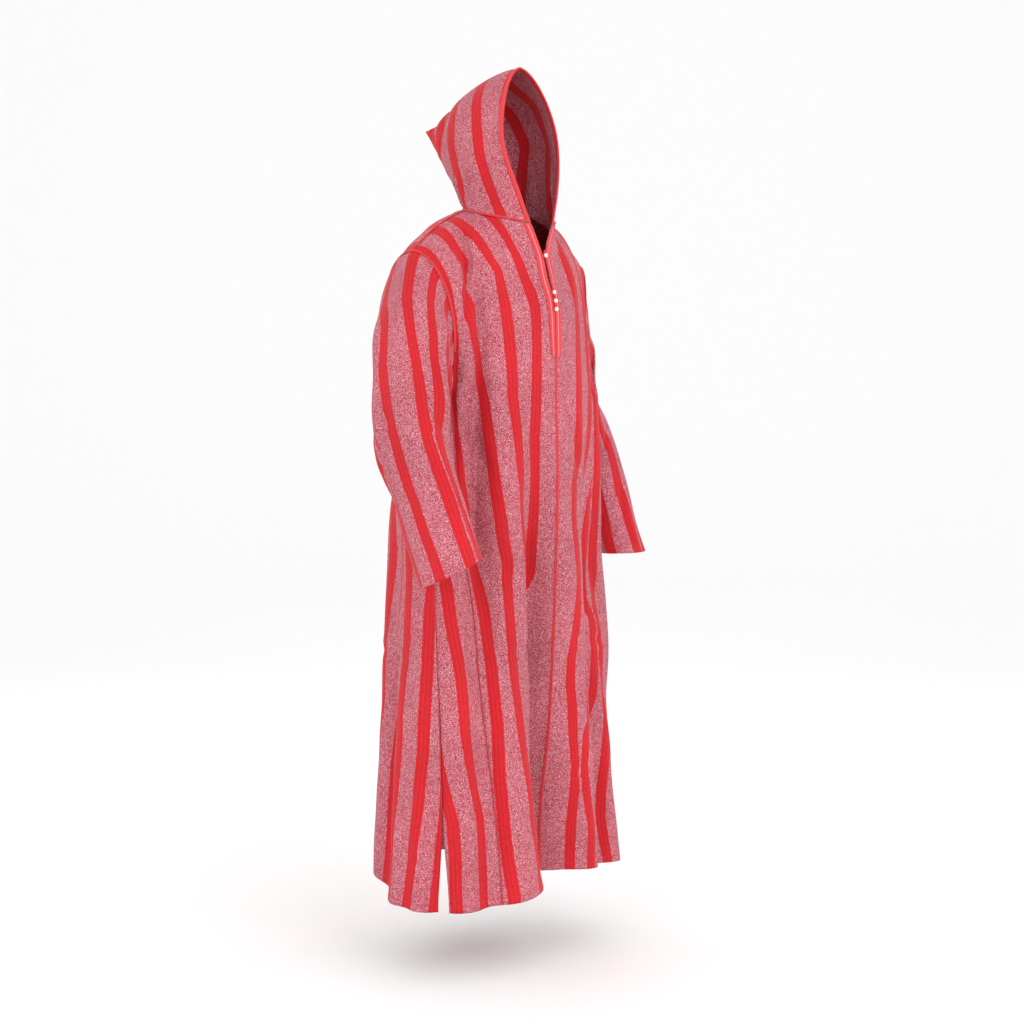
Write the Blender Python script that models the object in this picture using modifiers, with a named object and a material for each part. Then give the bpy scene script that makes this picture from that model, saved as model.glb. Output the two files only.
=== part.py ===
"""A striped, hooded djellaba robe, hollow, in the shape that it has when it is worn.

Metres, +Z up, -Y is the wearer's front and +X the wearer's left. The origin is the middle of
the neck, at the height where the robe hangs from the shoulders. Every cloth piece starts as a
flat grid, its points go to the worn form, and a Solidify modifier gives it its wall.

Cloth places are given as the maker would: `across` runs from a centre line (0) to the side
seam (1), and `side` is +1 for the wearer's right half and -1 for the left half.
"""

import math

import bmesh
import bpy
import numpy as np
from mathutils import Matrix, Vector

# ------------------------------------------------------------------ driving dimensions
WALL = 0.0018  # woven cloth with its turnings
SEAM_GAP = 0.0005  # between the edges of two pieces that are sewn together
SLEEVE_GAP = 0.0009  # the same at the armhole, where the seam curves more
SEAM_EDGE = 0.004  # a column of points this near to each edge keeps the edge flat
TRIM_CLEAR = 0.0004  # between a braid and the cloth under it
BRAID_WALL = 0.0014
BRAID_WIDTH = 0.012
CORD_RADIUS = 0.0013
CORD_CLEAR = 0.0007
CORD_REACH = 0.62  # share of each half armhole that its cord can be seen on
BUTTON_RADIUS = 0.0042
BUTTON_DROPS = (0.083, 0.156, 0.172, 0.188)
BUTTON_SEAT = 0.0002
LOOP_RADIUS = 0.0050
LOOP_CORD = 0.0012

NECK_HALF_WIDTH = 0.086
NECK_FRONT = 0.098
NECK_BACK = 0.084
NECK_RISE = 0.21  # how fast the neckline climbs from front to back
SLIT_CORNER = 20.0  # degrees from the centre front to where the open neckline starts
SHOULDER_NECK = 118.0  # degrees round the neck at which the shoulder seam starts
SHOULDER_TIPS = {1: (0.244, 0.014, -0.080), -1: (0.237, 0.032, -0.088)}  # right and left
SHOULDER_RISES = {1: 0.012, -1: 0.021}  # how far a shoulder seam bows up
ARMHOLE_DEPTH = 0.360  # drop of the underarm point
# How far each quarter of the armholes bows out, and how early: under 1 is near the shoulder.
ARMHOLE_BOW = {"right_front": 0.030, "right_back": 0.068, "left_front": -0.022, "left_back": 0.050}
ARMHOLE_EARLY = {"right_front": 1.0, "right_back": 0.60, "left_front": 1.0, "left_back": 1.00}
YOKE_FULLNESS = {"front": 2.20, "back": 2.74}  # 2 is a round shoulder, more is squarer
NECK_FULLNESS = 0.010  # how far the front bows out beside the neck
NECK_SHARE = 0.38  # share of the top edge that is neckline, the rest is shoulder seam
ROBE_LENGTH = 1.343
SLIT_HEIGHT = 0.190  # side slit above the hem
SLIT_OPENING = 0.011  # how far each edge of the slit stands back at the hem
SLEEVE_LEAVE = 0.55  # how far a sleeve goes on straight from the panel before it bends
NECK_SEAMS = (0.0003, 0.0021)  # how far the hood's foot is over the neckline, front and back
SHARPEST_SEAM = 115.0  # degrees of bend at a seam, beyond which its gap grows no more
PLACKET_END = 0.285  # drop of the placket's pointed end
HOOD_TURN = 9.0  # degrees that the hood is turned to the wearer's right

# ------------------------------------------------------------------ tables of the worn form
# Level rings below the underarm, in metres and degrees. Angles are counted from the front
# (0) to the wearer's right (90) and left (-90).
BODY_RINGS = {
    "drop":        (0.360, 0.500, 0.700, 0.870, 1.050, 1.200, 1.343),
    "half_width":  (0.224, 0.234, 0.246, 0.262, 0.278, 0.292, 0.306),
    "front":       (0.132, 0.136, 0.132, 0.136, 0.146, 0.155, 0.166),
    "back":        (0.176, 0.216, 0.248, 0.250, 0.243, 0.242, 0.241),
    "front_seam":  (0.000, -0.80, -3.60, -6.60, -9.80, -11.6, -13.5),
    "back_seam":   (180.0, 179.0, 176.0, 174.0, 172.0, 170.0, 168.0),
    "right_seam":  (90.00, 84.00, 74.00, 68.00, 63.00, 60.00, 58.00),
    "left_seam":   (-90.0, -90.0, -91.0, -92.0, -93.0, -94.0, -95.0),
    "gore_front":  (0.050, 0.066, 0.083, 0.096, 0.110, 0.124, 0.134),
    "gore_back":   (0.050, 0.066, 0.090, 0.110, 0.134, 0.154, 0.174),
}
# Soft folds of the body. Depth is inwards, so a minus depth is a ridge; width is half of
# the fold's, in degrees; a fold grows from its start to its full drop.
BODY_FOLDS = {
    "name":   ("chest_right", "front_crease", "knee_valley", "chest_left", "front_left",
               "shin_left", "hem_left", "thigh_right", "calf_right", "back_right",
               "back_mid_right", "back_centre", "back_mid_left", "back_left", "side_left",
               "side_back_right"),
    "top":    (50.0, 16.0, 8.0, -50.0, -30.0, -56.0, -82.0, 46.0, 78.0, 114.0,
               138.0, 172.0, -154.0, -130.0, -108.0, 96.0),
    "bottom": (40.0, -9.0, -13.0, -56.0, -44.0, -66.0, -84.0, 34.0, 62.0, 108.0,
               134.0, 168.0, -156.0, -134.0, -112.0, 84.0),
    "start":  (0.06, 0.30, 0.62, 0.10, 0.30, 0.66, 0.80, 0.34, 0.62, 0.32,
               0.30, 0.34, 0.30, 0.34, 0.45, 0.70),
    "full":   (0.20, 0.80, 1.34, 0.30, 0.80, 1.20, 1.30, 0.80, 1.30, 1.15,
               1.20, 1.30, 1.20, 1.20, 1.30, 1.34),
    "end":    (0.80, 9.00, 9.00, 0.90, 9.00, 9.00, 9.00, 9.00, 9.00, 9.00,
               9.00, 9.00, 9.00, 9.00, 9.00, 9.00),
    "depth":  (0.036, 0.062, 0.080, 0.030, 0.046, 0.036, 0.026, 0.028, 0.018, 0.028,
               0.032, 0.036, 0.032, 0.030, 0.026, 0.014),
    "width":  (8.0, 8.0, 20.0, 9.0, 9.0, 8.0, 8.0, 8.0, 8.0, 8.0,
               9.0, 10.0, 9.0, 8.0, 8.0, 8.0),
}
# How far the hem is lifted off its level, round the body.
HEM_LIFT = {
    "angle": (-180.0, -130.0, -90.0, -45.0, -19.0, 12.0, 40.0, 66.0, 95.0, 125.0, 160.0, 180.0),
    "lift":  (0.0300, 0.0340, 0.026, 0.026, 0.030, 0.012, 0.000, 0.000, 0.010, 0.055, 0.050, 0.030),
}
# Sleeve rings: the outer and the inner point of each ring, how far it lies in front of the
# neck, half its depth from front to back, how far its front is lifted over its middle, and how
# far the arm turns the cloth forwards.
RIGHT_SLEEVE = {
    "outer_out":  (0.308, 0.339, 0.366, 0.354, 0.350),
    "outer_drop": (0.190, 0.300, 0.408, 0.560, 0.704),
    "inner_out":  (0.240, 0.250, 0.256, 0.254, 0.254),
    "inner_drop": (0.392, 0.430, 0.490, 0.575, 0.668),
    "forward":    (0.012, 0.036, 0.062, 0.102, 0.150),
    "half_depth": (0.088, 0.081, 0.084, 0.078, 0.068),
    "front_lift": (0.000, 0.000, 0.004, 0.012, 0.022),
    "twist":      (12.00, 28.00, 42.00, 58.00, 70.00),
}
LEFT_SLEEVE = {
    "outer_out":  (0.288, 0.295, 0.342, 0.387, 0.414),
    "outer_drop": (0.190, 0.300, 0.420, 0.560, 0.684),
    "inner_out":  (0.250, 0.254, 0.266, 0.292, 0.316),
    "inner_drop": (0.368, 0.420, 0.478, 0.580, 0.688),
    "forward":    (-.089, -.106, -.091, -.066, -.024),
    "half_depth": (0.070, 0.076, 0.076, 0.068, 0.052),
    "front_lift": (0.000, 0.000, 0.000, 0.000, 0.000),
    "twist":      (6.000, 22.00, 38.00, 50.00, 58.00),
}
# Folds that run down a sleeve. Angles go from the top line (0) to the front (90), the
# underarm (180) and the back (-90); rows are shares of the sleeve's length.
RIGHT_SLEEVE_FOLDS = {
    "angle": (74.0, 112.0, 145.0, -60.0, -120.0, 30.0),
    "lean":  (26.0, 20.0, 0.0, 20.0, 10.0, 18.0),
    "from":  (0.03, 0.02, 0.05, 0.10, 0.10, 0.45),
    "to":    (0.62, 0.48, 0.55, 0.80, 0.70, 0.98),
    "depth": (0.020, 0.018, 0.012, 0.012, 0.014, 0.007),
    "width": (16.0, 14.0, 13.0, 18.0, 16.0, 16.0),
}
LEFT_SLEEVE_FOLDS = {
    "angle": (70.0, 118.0, -64.0, -118.0, 20.0),
    "lean":  (14.0, 10.0, 12.0, 10.0, 10.0),
    "from":  (0.04, 0.03, 0.08, 0.10, 0.40),
    "to":    (0.60, 0.55, 0.75, 0.65, 0.96),
    "depth": (0.016, 0.016, 0.012, 0.014, 0.007),
    "width": (16.0, 15.0, 18.0, 16.0, 17.0),
}
# Ribs of the hood, from the face opening to the seam at the back. Each rib runs up from the
# neckline, past its widest place and over the top.
HOOD_RIBS = {
    "share":        (0.000, 0.160, 0.400, 0.640, 0.840, 1.000),
    "top_forward":  (0.042, 0.002, -.064, -.130, -.182, -.220),
    "top_height":   (0.286, 0.286, 0.272, 0.237, 0.204, 0.186),
    "side_forward": (0.076, 0.036, -.018, -.074, -.122, -.150),
    "half_width":   (0.065, 0.083, 0.096, 0.083, 0.044, 0.0000),
    "side_height":  (0.135, 0.138, 0.136, 0.128, 0.112, 0.098),
    "foot_angle":   (20.00, 46.00, 84.00, 124.0, 156.0, 180.0),
    "lean":         (0.000, 0.000, 0.006, 0.018, 0.036, 0.050),
}
# Rises and dips of the shoulders and the chest, by the share of a panel's width.
YOKE_FOLDS = {
    "at":    (0.76, 0.94, 0.46),
    "width": (0.10, 0.08, 0.10),
    "from":  (0.10, 0.20, 0.30),
    "depth": (-.010, 0.008, 0.007),
}
# How far each edge of the neck slit has closed in from its top, and how far forward it lies.
NECK_OPENING = {
    "drop":    (0.019, 0.050, 0.083, 0.124, 0.150, 0.175, 0.400),
    "closed":  (0.0000, 0.0144, 0.0275, 0.0258, 0.0278, 0.0291, 0.0294),
    "forward": (0.0000, 0.0024, 0.0064, 0.0194, 0.0269, 0.0324, 0.0394),
}

EVEN_SAMPLES = 241  # points on a curve that is measured to space others evenly along it


# ------------------------------------------------------------------ helpers
def eased(table, column, at, by="drop"):
    """The value of a table's column at the place `at`, on a smooth curve through its rows."""
    places, values = np.asarray(table[by], float), np.asarray(table[column], float)
    slopes = np.gradient(values, places)
    at = np.clip(at, places[0], places[-1])
    row = np.clip(np.searchsorted(places, at, side="right") - 1, 0, len(places) - 2)
    step = places[row + 1] - places[row]
    s = (at - places[row]) / step
    return (
        (2 * s**3 - 3 * s**2 + 1) * values[row]
        + (s**3 - 2 * s**2 + s) * step * slopes[row]
        + (3 * s**2 - 2 * s**3) * values[row + 1]
        + (s**3 - s**2) * step * slopes[row + 1]
    )


def ramp(value, low, high):
    """0 below low, 1 above high and a smooth rise between them."""
    s = np.clip((value - low) / (high - low), 0.0, 1.0)
    return s * s * (3 - 2 * s)


def place_on(curve, shares):
    """The points that divide a curve's own length by the given shares."""
    steps = np.linalg.norm(np.diff(curve, axis=0), axis=1)
    along = np.concatenate([[0.0], np.cumsum(steps)]) / steps.sum()
    return np.stack([np.interp(shares, along, curve[:, k]) for k in range(3)], axis=1)


def fold_depths(table, angles, place, grow):
    """The summed depth of a table's folds at these angles. `grow` gives each fold's share."""
    depth = np.zeros_like(angles)
    for row in range(len(table["depth"])):
        centre, share = grow(table, row, place)
        away = (angles - centre + 180.0) % 360.0 - 180.0
        depth += share * table["depth"][row] * np.exp(-((away / table["width"][row]) ** 2))
    return depth


def body_fold_share(table, row, drop):
    """Where a body fold lies at this drop, and how much of it is there."""
    along = np.clip((drop - table["start"][row]) / (ROBE_LENGTH - table["start"][row]), 0, 1)
    centre = table["top"][row] + (table["bottom"][row] - table["top"][row]) * along
    ends = 1.0 - ramp(drop, 0.75 * table["end"][row], table["end"][row])
    return centre, ramp(drop, table["start"][row], table["full"][row]) * ends


def sleeve_fold_share(table, row, along):
    """Where a sleeve fold lies at this share of the length, and how much of it is there."""
    first, last = table["from"][row], table["to"][row]
    centre = table["angle"][row] - table["lean"][row] * along
    grown = ramp(along, first, first + 0.14) * (1.0 - ramp(along, last - 0.22, last))
    return centre, grown


# ------------------------------------------------------------------ the body's form
def body_ring(drop, angles):
    """Points of the body's level ring, folds and all, at these angles from the front."""
    turn = np.radians(angles)
    depth = np.where(
        np.cos(turn) > 0, eased(BODY_RINGS, "front", drop), eased(BODY_RINGS, "back", drop)
    )
    width = eased(BODY_RINGS, "half_width", drop)
    x, y = -width * np.sin(turn), -depth * np.cos(turn)
    normal = np.stack([x / width**2, y / depth**2], axis=-1)
    normal /= np.linalg.norm(normal, axis=-1, keepdims=True)
    inward = fold_depths(BODY_FOLDS, np.asarray(angles, float), drop, body_fold_share)
    wrapped = (np.asarray(angles) + 180.0) % 360.0 - 180.0
    lift = np.interp(wrapped, HEM_LIFT["angle"], HEM_LIFT["lift"]) * ramp(drop, 0.75, ROBE_LENGTH)
    return np.stack(
        [x - inward * normal[..., 0], y - inward * normal[..., 1], -drop + lift], axis=-1
    )


def ring_angles(side, front, drop):
    """The angles of the centre line and of the side seam that bound a quarter of the ring."""
    seam = eased(BODY_RINGS, "right_seam" if side > 0 else "left_seam", drop)
    centre = eased(BODY_RINGS, "front_seam" if front else "back_seam", drop)
    if not front and side < 0:
        centre -= 360.0
    return centre, seam


def quarter(side, front, drop):
    """A quarter of the ring, from the centre line to the side seam, and its cut width."""
    centre, seam = ring_angles(side, front, drop)
    curve = body_ring(drop, np.linspace(centre, seam, EVEN_SAMPLES))
    return curve, float(np.linalg.norm(np.diff(curve, axis=0), axis=1).sum())


def gore_share(side, front, drop):
    """The share of a quarter at which the gore is sewn to the panel."""
    gore = float(eased(BODY_RINGS, "gore_front" if front else "gore_back", drop))
    return 1.0 - gore / quarter(side, front, drop)[1]


def neck_point(angle):
    """A point of the neckline, at an angle from the front to the wearer's right."""
    turn = math.radians(angle)
    depth = NECK_FRONT if math.cos(turn) > 0 else NECK_BACK
    y = -depth * math.cos(turn)
    return np.array([-NECK_HALF_WIDTH * math.sin(turn), y, NECK_RISE * y])


def top_edge(side, front, across):
    """The top edge of a panel: its part of the neckline, then its shoulder seam."""
    first = SLIT_CORNER if front else 180.0
    start = neck_point(SHOULDER_NECK)
    if across <= NECK_SHARE:
        point = neck_point(first + (SHOULDER_NECK - first) * across / NECK_SHARE)
    else:
        share = (across - NECK_SHARE) / (1.0 - NECK_SHARE)
        tip = np.array(SHOULDER_TIPS[side]) * np.array([-1.0, 1.0, 1.0])
        point = start + (tip - start) * share
        point[2] += SHOULDER_RISES[side] * math.sin(math.pi * share)
    return point * np.array([side, 1.0, 1.0])


def yoke_column(side, front, across, downs):
    """A column of cloth from the top edge, over the shoulder, to the underarm ring."""
    start = top_edge(side, front, across)
    share = across * gore_share(side, front, ARMHOLE_DEPTH)
    end = place_on(quarter(side, front, ARMHOLE_DEPTH)[0], [share])[0]
    turn = np.linspace(0.0, math.pi / 2, 81)
    power = 2.0 / YOKE_FULLNESS["front" if front else "back"]
    out, down = np.sin(turn) ** power, 1.0 - np.cos(turn) ** power
    curve = start + (end - start) * np.stack([out, out, down], axis=1)
    toward = -1.0 if front else 1.0
    corner = f"{'right' if side > 0 else 'left'}_{'front' if front else 'back'}"
    early = np.clip(down, 0.0, 1.0) ** ARMHOLE_EARLY[corner]
    bow = ARMHOLE_BOW[corner] * np.sin(math.pi * early) ** 0.8 * across**4
    for row in range(len(YOKE_FOLDS["at"])):
        away = (across - YOKE_FOLDS["at"][row]) / YOKE_FOLDS["width"][row]
        grown = ramp(down, YOKE_FOLDS["from"][row], 0.5) * (1.0 - ramp(down, 0.7, 1.0))
        bow -= YOKE_FOLDS["depth"][row] * math.exp(-(away**2)) * grown
    curve[:, 1] += toward * bow
    if front:
        beside_neck = math.exp(-(((across - NECK_SHARE) / 0.11) ** 2))
        early = np.sin(math.pi * np.clip(down, 0.0, 1.0) ** 0.3) ** 0.8
        curve[:, 0] -= side * beside_neck * NECK_FULLNESS * early
        dip = np.minimum(start[1] - curve[:, 1], 0.030) * (1.0 - ramp(down, 0.3, 1.0))
        curve[:, 2] -= beside_neck * NECK_RISE * dip
    if front:
        near = max(0.0, 1.0 - across / NECK_SHARE) ** 1.5 * (1.0 - ramp(down, 0.45, 1.0))
        closed = np.interp(-curve[:, 2], NECK_OPENING["drop"], NECK_OPENING["closed"])
        forward = np.interp(-curve[:, 2], NECK_OPENING["drop"], NECK_OPENING["forward"])
        closed = closed - (SEAM_GAP / 2 if across == 0 else 0.0)
        curve[:, 0] += near * (start[0] + side * closed - curve[:, 0])
        above = near * (1.0 - ramp(-curve[:, 2], 0.13, 0.20))
        curve[:, 1] += above * (start[1] - forward - curve[:, 1])
    return place_on(curve, downs)


def panel_rows(side, front, shares, yoke_downs, drops):
    """The points of a panel: over the shoulder by columns, then down the skirt by rows."""
    yoke = np.stack([yoke_column(side, front, share, yoke_downs) for share in shares], axis=1)
    skirt = []
    for drop in drops:
        curve, width = quarter(side, front, drop)
        edge = gore_share(side, front, drop) - SEAM_GAP / 2 / width
        first = SEAM_GAP / 2 / width if front else 0.0
        skirt.append(place_on(curve, np.maximum(np.asarray(shares) * edge, first)))
    return np.concatenate([yoke, np.array(skirt)], axis=0)


def gore_rows(side, front, count, drops):
    """The points of a gore, from the panel's seam to the side seam or the slit."""
    rows = []
    for drop in drops:
        curve, width = quarter(side, front, drop)
        first = gore_share(side, front, drop) + SEAM_GAP / 2 / width
        open_slit = SLIT_OPENING * ramp(drop, ROBE_LENGTH - SLIT_HEIGHT, ROBE_LENGTH)
        last = 1.0 - (SEAM_GAP / 2 + open_slit) / width
        near = SEAM_EDGE / width
        inner = np.linspace(first + near, last - near, count - 2)
        rows.append(place_on(curve, np.concatenate([[first], inner, [last]])))
    return np.array(rows)


# ------------------------------------------------------------------ the sleeves' form
def armhole(side, front, shares):
    """Half of the armhole, from the shoulder tip to the underarm, and the way it faces."""
    edge = yoke_column(side, front, 1.0, np.linspace(0.0, 1.0, 61))
    beside = yoke_column(side, front, 0.97, np.linspace(0.0, 1.0, 61))
    curve, width = quarter(side, front, ARMHOLE_DEPTH)
    base = place_on(curve, np.linspace(gore_share(side, front, ARMHOLE_DEPTH), 1.0, 21))[1:]
    under = np.repeat([[-side * 0.85, 0.0, 0.53]], len(base), axis=0)
    loop = np.concatenate([edge, base])
    faces = np.concatenate([edge - beside, under])
    faces /= np.linalg.norm(faces, axis=1, keepdims=True)
    steps = np.linalg.norm(np.diff(loop, axis=0), axis=1)
    along = np.concatenate([[0.0], np.cumsum(steps)]) / steps.sum()
    at = [np.stack([np.interp(shares, along, line[:, k]) for k in range(3)], axis=1)
          for line in (loop, faces)]
    return at[0], at[1] / np.linalg.norm(at[1], axis=1, keepdims=True)


def sleeve_start(side, table, around):
    """Where a sleeve begins: its rings, the way each armhole edge faces, and the seam's gap.

    `around` runs from -1 at the underarm, by the back, over the shoulder line at 0 and by
    the front to 1 at the underarm again.
    """
    start = np.zeros((len(around), 3))
    faces = np.zeros((len(around), 3))
    for front, half in ((True, around >= 0), (False, around < 0)):
        start[half], faces[half] = armhole(side, front, np.abs(around[half]))
    rings = [start]
    for row in range(len(table["forward"])):
        outer = np.array([-side * table["outer_out"][row], 0.0, -table["outer_drop"][row]])
        inner = np.array([-side * table["inner_out"][row], 0.0, -table["inner_drop"][row]])
        middle = (outer + inner) / 2 + np.array([0.0, -table["forward"][row], 0.0])
        turn = np.radians(around * 180.0 + table["twist"][row])
        depth = np.array([0.0, -table["half_depth"][row], table["front_lift"][row]])
        ring = middle + np.outer(np.cos(turn), (outer - inner) / 2) + np.outer(np.sin(turn), depth)
        rings.append(ring)
    rings = np.array(rings)
    way = rings[1] - rings[0]
    bend = np.sum(way * faces, axis=1) / np.linalg.norm(way, axis=1)
    bend = np.clip(np.degrees(np.arccos(np.clip(bend, -1.0, 1.0))), 0.0, SHARPEST_SEAM)
    clear = SLEEVE_GAP + WALL * np.tan(np.radians(bend) / 2)
    rings[0] += faces * clear[:, None]
    return rings, faces, clear


def sleeve_rows(side, table, folds, columns, alongs):
    """The points of a sleeve. Columns run round it from the underarm, by the front."""
    around = np.linspace(-1.0, 1.0, columns)
    rings, faces, clear = sleeve_start(side, table, around)
    rows = np.zeros((len(alongs), columns, 3))
    for column in range(columns):
        reach = np.linalg.norm(rings[1][column] - rings[0][column])
        curve = smooth_through(rings[:, column], faces[column] * reach * SLEEVE_LEAVE)
        rows[:, column] = place_on(curve, alongs)
    normal = outward_of(rows, closed=True)
    for row, along in enumerate(alongs):
        inward = fold_depths(folds, around * 180.0, along, sleeve_fold_share)
        rows[row] -= normal[row] * inward[:, None] * side
    return rows


def armhole_cord_line(side, table):
    """The middle line of the cord that covers the armhole seam, over the shoulder."""
    around = np.linspace(-CORD_REACH, CORD_REACH, 19)
    rings, faces, clear = sleeve_start(side, table, around)
    run = np.gradient(rings[0], axis=0)
    way = smooth_way(rings, faces)
    panel_up, sleeve_up = np.cross(faces, run), np.cross(way, run)
    panel_up /= np.linalg.norm(panel_up, axis=1, keepdims=True)
    sleeve_up /= np.linalg.norm(sleeve_up, axis=1, keepdims=True)
    out = panel_up + sleeve_up
    half_cos = np.linalg.norm(out, axis=1, keepdims=True) / 2
    out /= 2 * half_cos
    if out[9][2] < 0:
        out = -out
    lift = (CORD_RADIUS + WALL / 2 + CORD_CLEAR) / np.maximum(half_cos, 0.6)
    return rings[0] - faces * clear[:, None] / 2 + out * lift


def smooth_way(rings, faces):
    """The way that a sleeve leaves its seam, over the first few millimetres."""
    reach = np.linalg.norm(rings[1] - rings[0], axis=1, keepdims=True)
    way = faces * SLEEVE_LEAVE * reach * 0.9 + (rings[1] - rings[0]) * 0.1
    return way / np.linalg.norm(way, axis=1, keepdims=True)


def smooth_through(points, leave):
    """A smooth curve through a few points, leaving the first one along `leave`."""
    count = len(points)
    slopes = np.zeros_like(points)
    slopes[1:-1] = (points[2:] - points[:-2]) / 2
    slopes[0], slopes[-1] = leave, points[-1] - points[-2]
    parts = []
    for k in range(count - 1):
        s = np.linspace(0.0, 1.0, 13)[:, None]
        part = (2 * s**3 - 3 * s**2 + 1) * points[k] + (s**3 - 2 * s**2 + s) * slopes[k]
        part = part + (3 * s**2 - 2 * s**3) * points[k + 1] + (s**3 - s**2) * slopes[k + 1]
        parts.append(part if k == 0 else part[1:])
    return np.concatenate(parts)


# ------------------------------------------------------------------ the hood's form
def hood_rib(share, heights):
    """One rib of the hood, from its right foot over the top to its left foot."""
    top = np.array([0.0, -eased(HOOD_RIBS, "top_forward", share, "share"),
                    eased(HOOD_RIBS, "top_height", share, "share")])
    forward = eased(HOOD_RIBS, "side_forward", share, "share")
    half_width = eased(HOOD_RIBS, "half_width", share, "share")
    side_height = eased(HOOD_RIBS, "side_height", share, "share")
    lean = eased(HOOD_RIBS, "lean", share, "share")
    foot_angle = float(eased(HOOD_RIBS, "foot_angle", share, "share"))
    halves = []
    for side in (1.0, -1.0):
        foot = neck_point(foot_angle) * np.array([side, 1.0, 1.0])
        foot[2] += NECK_SEAMS[0] + (NECK_SEAMS[1] - NECK_SEAMS[0]) * ramp(foot_angle, 20.0, 75.0)
        beside = np.array([-side * half_width, -forward, side_height])
        leave = (beside - foot) * np.array([1.6, 1.6, 0.9])
        climb = (top - foot) * np.array([0.0, 0.4, 0.55])
        over = np.array([side * half_width * 1.7, 0.0, 0.0]) + (top - beside) * [0, 0.5, 0.20]
        s = np.linspace(0.0, 1.0, 41)[:, None]
        curve = []
        for first, last, start, finish_way in (
            (foot, beside, leave, climb), (beside, top, climb, over)
        ):
            part = (2 * s**3 - 3 * s**2 + 1) * first + (s**3 - 2 * s**2 + s) * start
            part = part + (3 * s**2 - 2 * s**3) * last + (s**3 - s**2) * finish_way
            curve.append(part)
        half = place_on(np.concatenate([curve[0], curve[1][1:]]), heights)
        shift = ramp(half[:, 2], 0.02, 0.16)
        half[:, 0] -= lean * shift
        turn = -math.radians(HOOD_TURN) * shift
        x, y = half[:, 0].copy(), half[:, 1].copy()
        half[:, 0] = x * np.cos(turn) - y * np.sin(turn)
        half[:, 1] = x * np.sin(turn) + y * np.cos(turn)
        halves.append(half)
    return np.concatenate([halves[0], halves[1][::-1][1:]])


# ------------------------------------------------------------------ making pieces
def clear_scene():
    for old in list(bpy.data.objects):
        bpy.data.objects.remove(old, do_unlink=True)


def new_collection(name):
    made = bpy.data.collections.new(name)
    bpy.context.scene.collection.children.link(made)
    return made


def finish(name, colour, roughness, metallic=0.0):
    """A plain material in the piece's own colour."""
    made = bpy.data.materials.get(name) or bpy.data.materials.new(name)
    made.use_nodes = True
    shader = made.node_tree.nodes["Principled BSDF"]
    shader.inputs["Base Color"].default_value = (*colour, 1.0)
    shader.inputs["Roughness"].default_value = roughness
    shader.inputs["Metallic"].default_value = metallic
    return made


def cloth_grid(name, rows, material, wall=WALL, round_it=False):
    """A piece of cloth: a flat grid with its points moved to `rows`, and a wall."""
    down, across = rows.shape[:2]
    bpy.ops.mesh.primitive_grid_add(x_subdivisions=across - 1, y_subdivisions=down - 1, size=1.0)
    piece = bpy.context.active_object
    piece.name = piece.data.name = name
    piece.data.vertices.foreach_set("co", rows.reshape(-1))
    if round_it:
        weld_ends(piece.data)
    piece.data.update()
    piece.data.materials.append(material)
    piece.data.shade_smooth()
    thick = piece.modifiers.new("wall", "SOLIDIFY")
    thick.thickness = wall
    thick.offset = 0.0
    for held in list(piece.users_collection):
        held.objects.unlink(piece)
    ROBE.objects.link(piece)
    return piece


def weld_ends(mesh):
    """Joins the first and last columns of a grid that closes on itself."""
    shape = bmesh.new()
    shape.from_mesh(mesh)
    bmesh.ops.remove_doubles(shape, verts=shape.verts, dist=1e-6)
    shape.to_mesh(mesh)
    shape.free()


def outward_of(rows, closed=False):
    """The unit normals of a grid of points. The columns of a closed one meet at its ends."""
    padded = np.concatenate([rows[:, -2:-1], rows, rows[:, 1:2]], axis=1) if closed else rows
    down = np.gradient(padded, axis=0)
    across = np.gradient(padded, axis=1)
    normal = np.cross(across, down)
    normal /= np.maximum(np.linalg.norm(normal, axis=-1, keepdims=True), 1e-12)
    return normal[:, 1:-1] if closed else normal


def cord(name, points, radius, material):
    """A round cord along the points, with filled ends."""
    line = bpy.data.curves.new(name, "CURVE")
    line.dimensions = "3D"
    line.bevel_depth = radius
    line.bevel_resolution = 1
    line.use_fill_caps = True
    spline = line.splines.new("POLY")
    spline.points.add(len(points) - 1)
    spline.points.foreach_set("co", np.column_stack([points, np.ones(len(points))]).reshape(-1))
    made = bpy.data.objects.new(name, line)
    ROBE.objects.link(made)
    line.materials.append(material)
    return made


def moved_out(rows, distance, inside):
    """A copy of a grid of points, moved out from the point `inside`."""
    normal = outward_of(rows)
    outwards = np.sum(normal * (rows - np.asarray(inside))) > 0
    return rows + normal * (distance if outwards else -distance)


def on_column(column, height):
    """Where a column of points passes a height, and the way that it runs there."""
    row = int(np.argmax(column[:, 2] < height))
    share = (column[row - 1][2] - height) / (column[row - 1][2] - column[row][2])
    run = column[row] - column[row - 1]
    return column[row - 1] + run * share, run / np.linalg.norm(run)


def bead(name, place, facing, material):
    """A round button with its middle at the place."""
    bpy.ops.mesh.primitive_uv_sphere_add(segments=10, ring_count=6, radius=BUTTON_RADIUS)
    return settle(name, place, facing, material)


def loop(name, place, facing, material):
    """The cord loop that goes round a button's foot."""
    bpy.ops.mesh.primitive_torus_add(
        major_segments=12, minor_segments=5, major_radius=LOOP_RADIUS, minor_radius=LOOP_CORD
    )
    return settle(name, place, facing, material)


def settle(name, place, facing, material):
    """Names the new object, turns it to face outwards and puts it in the collection."""
    made = bpy.context.active_object
    made.name = made.data.name = name
    made.matrix_world = Matrix.Translation(place) @ facing.to_track_quat("Z", "X").to_matrix().to_4x4()
    for held in list(made.users_collection):
        held.objects.unlink(made)
    ROBE.objects.link(made)
    made.data.materials.append(material)
    made.data.shade_smooth()
    return made


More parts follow.
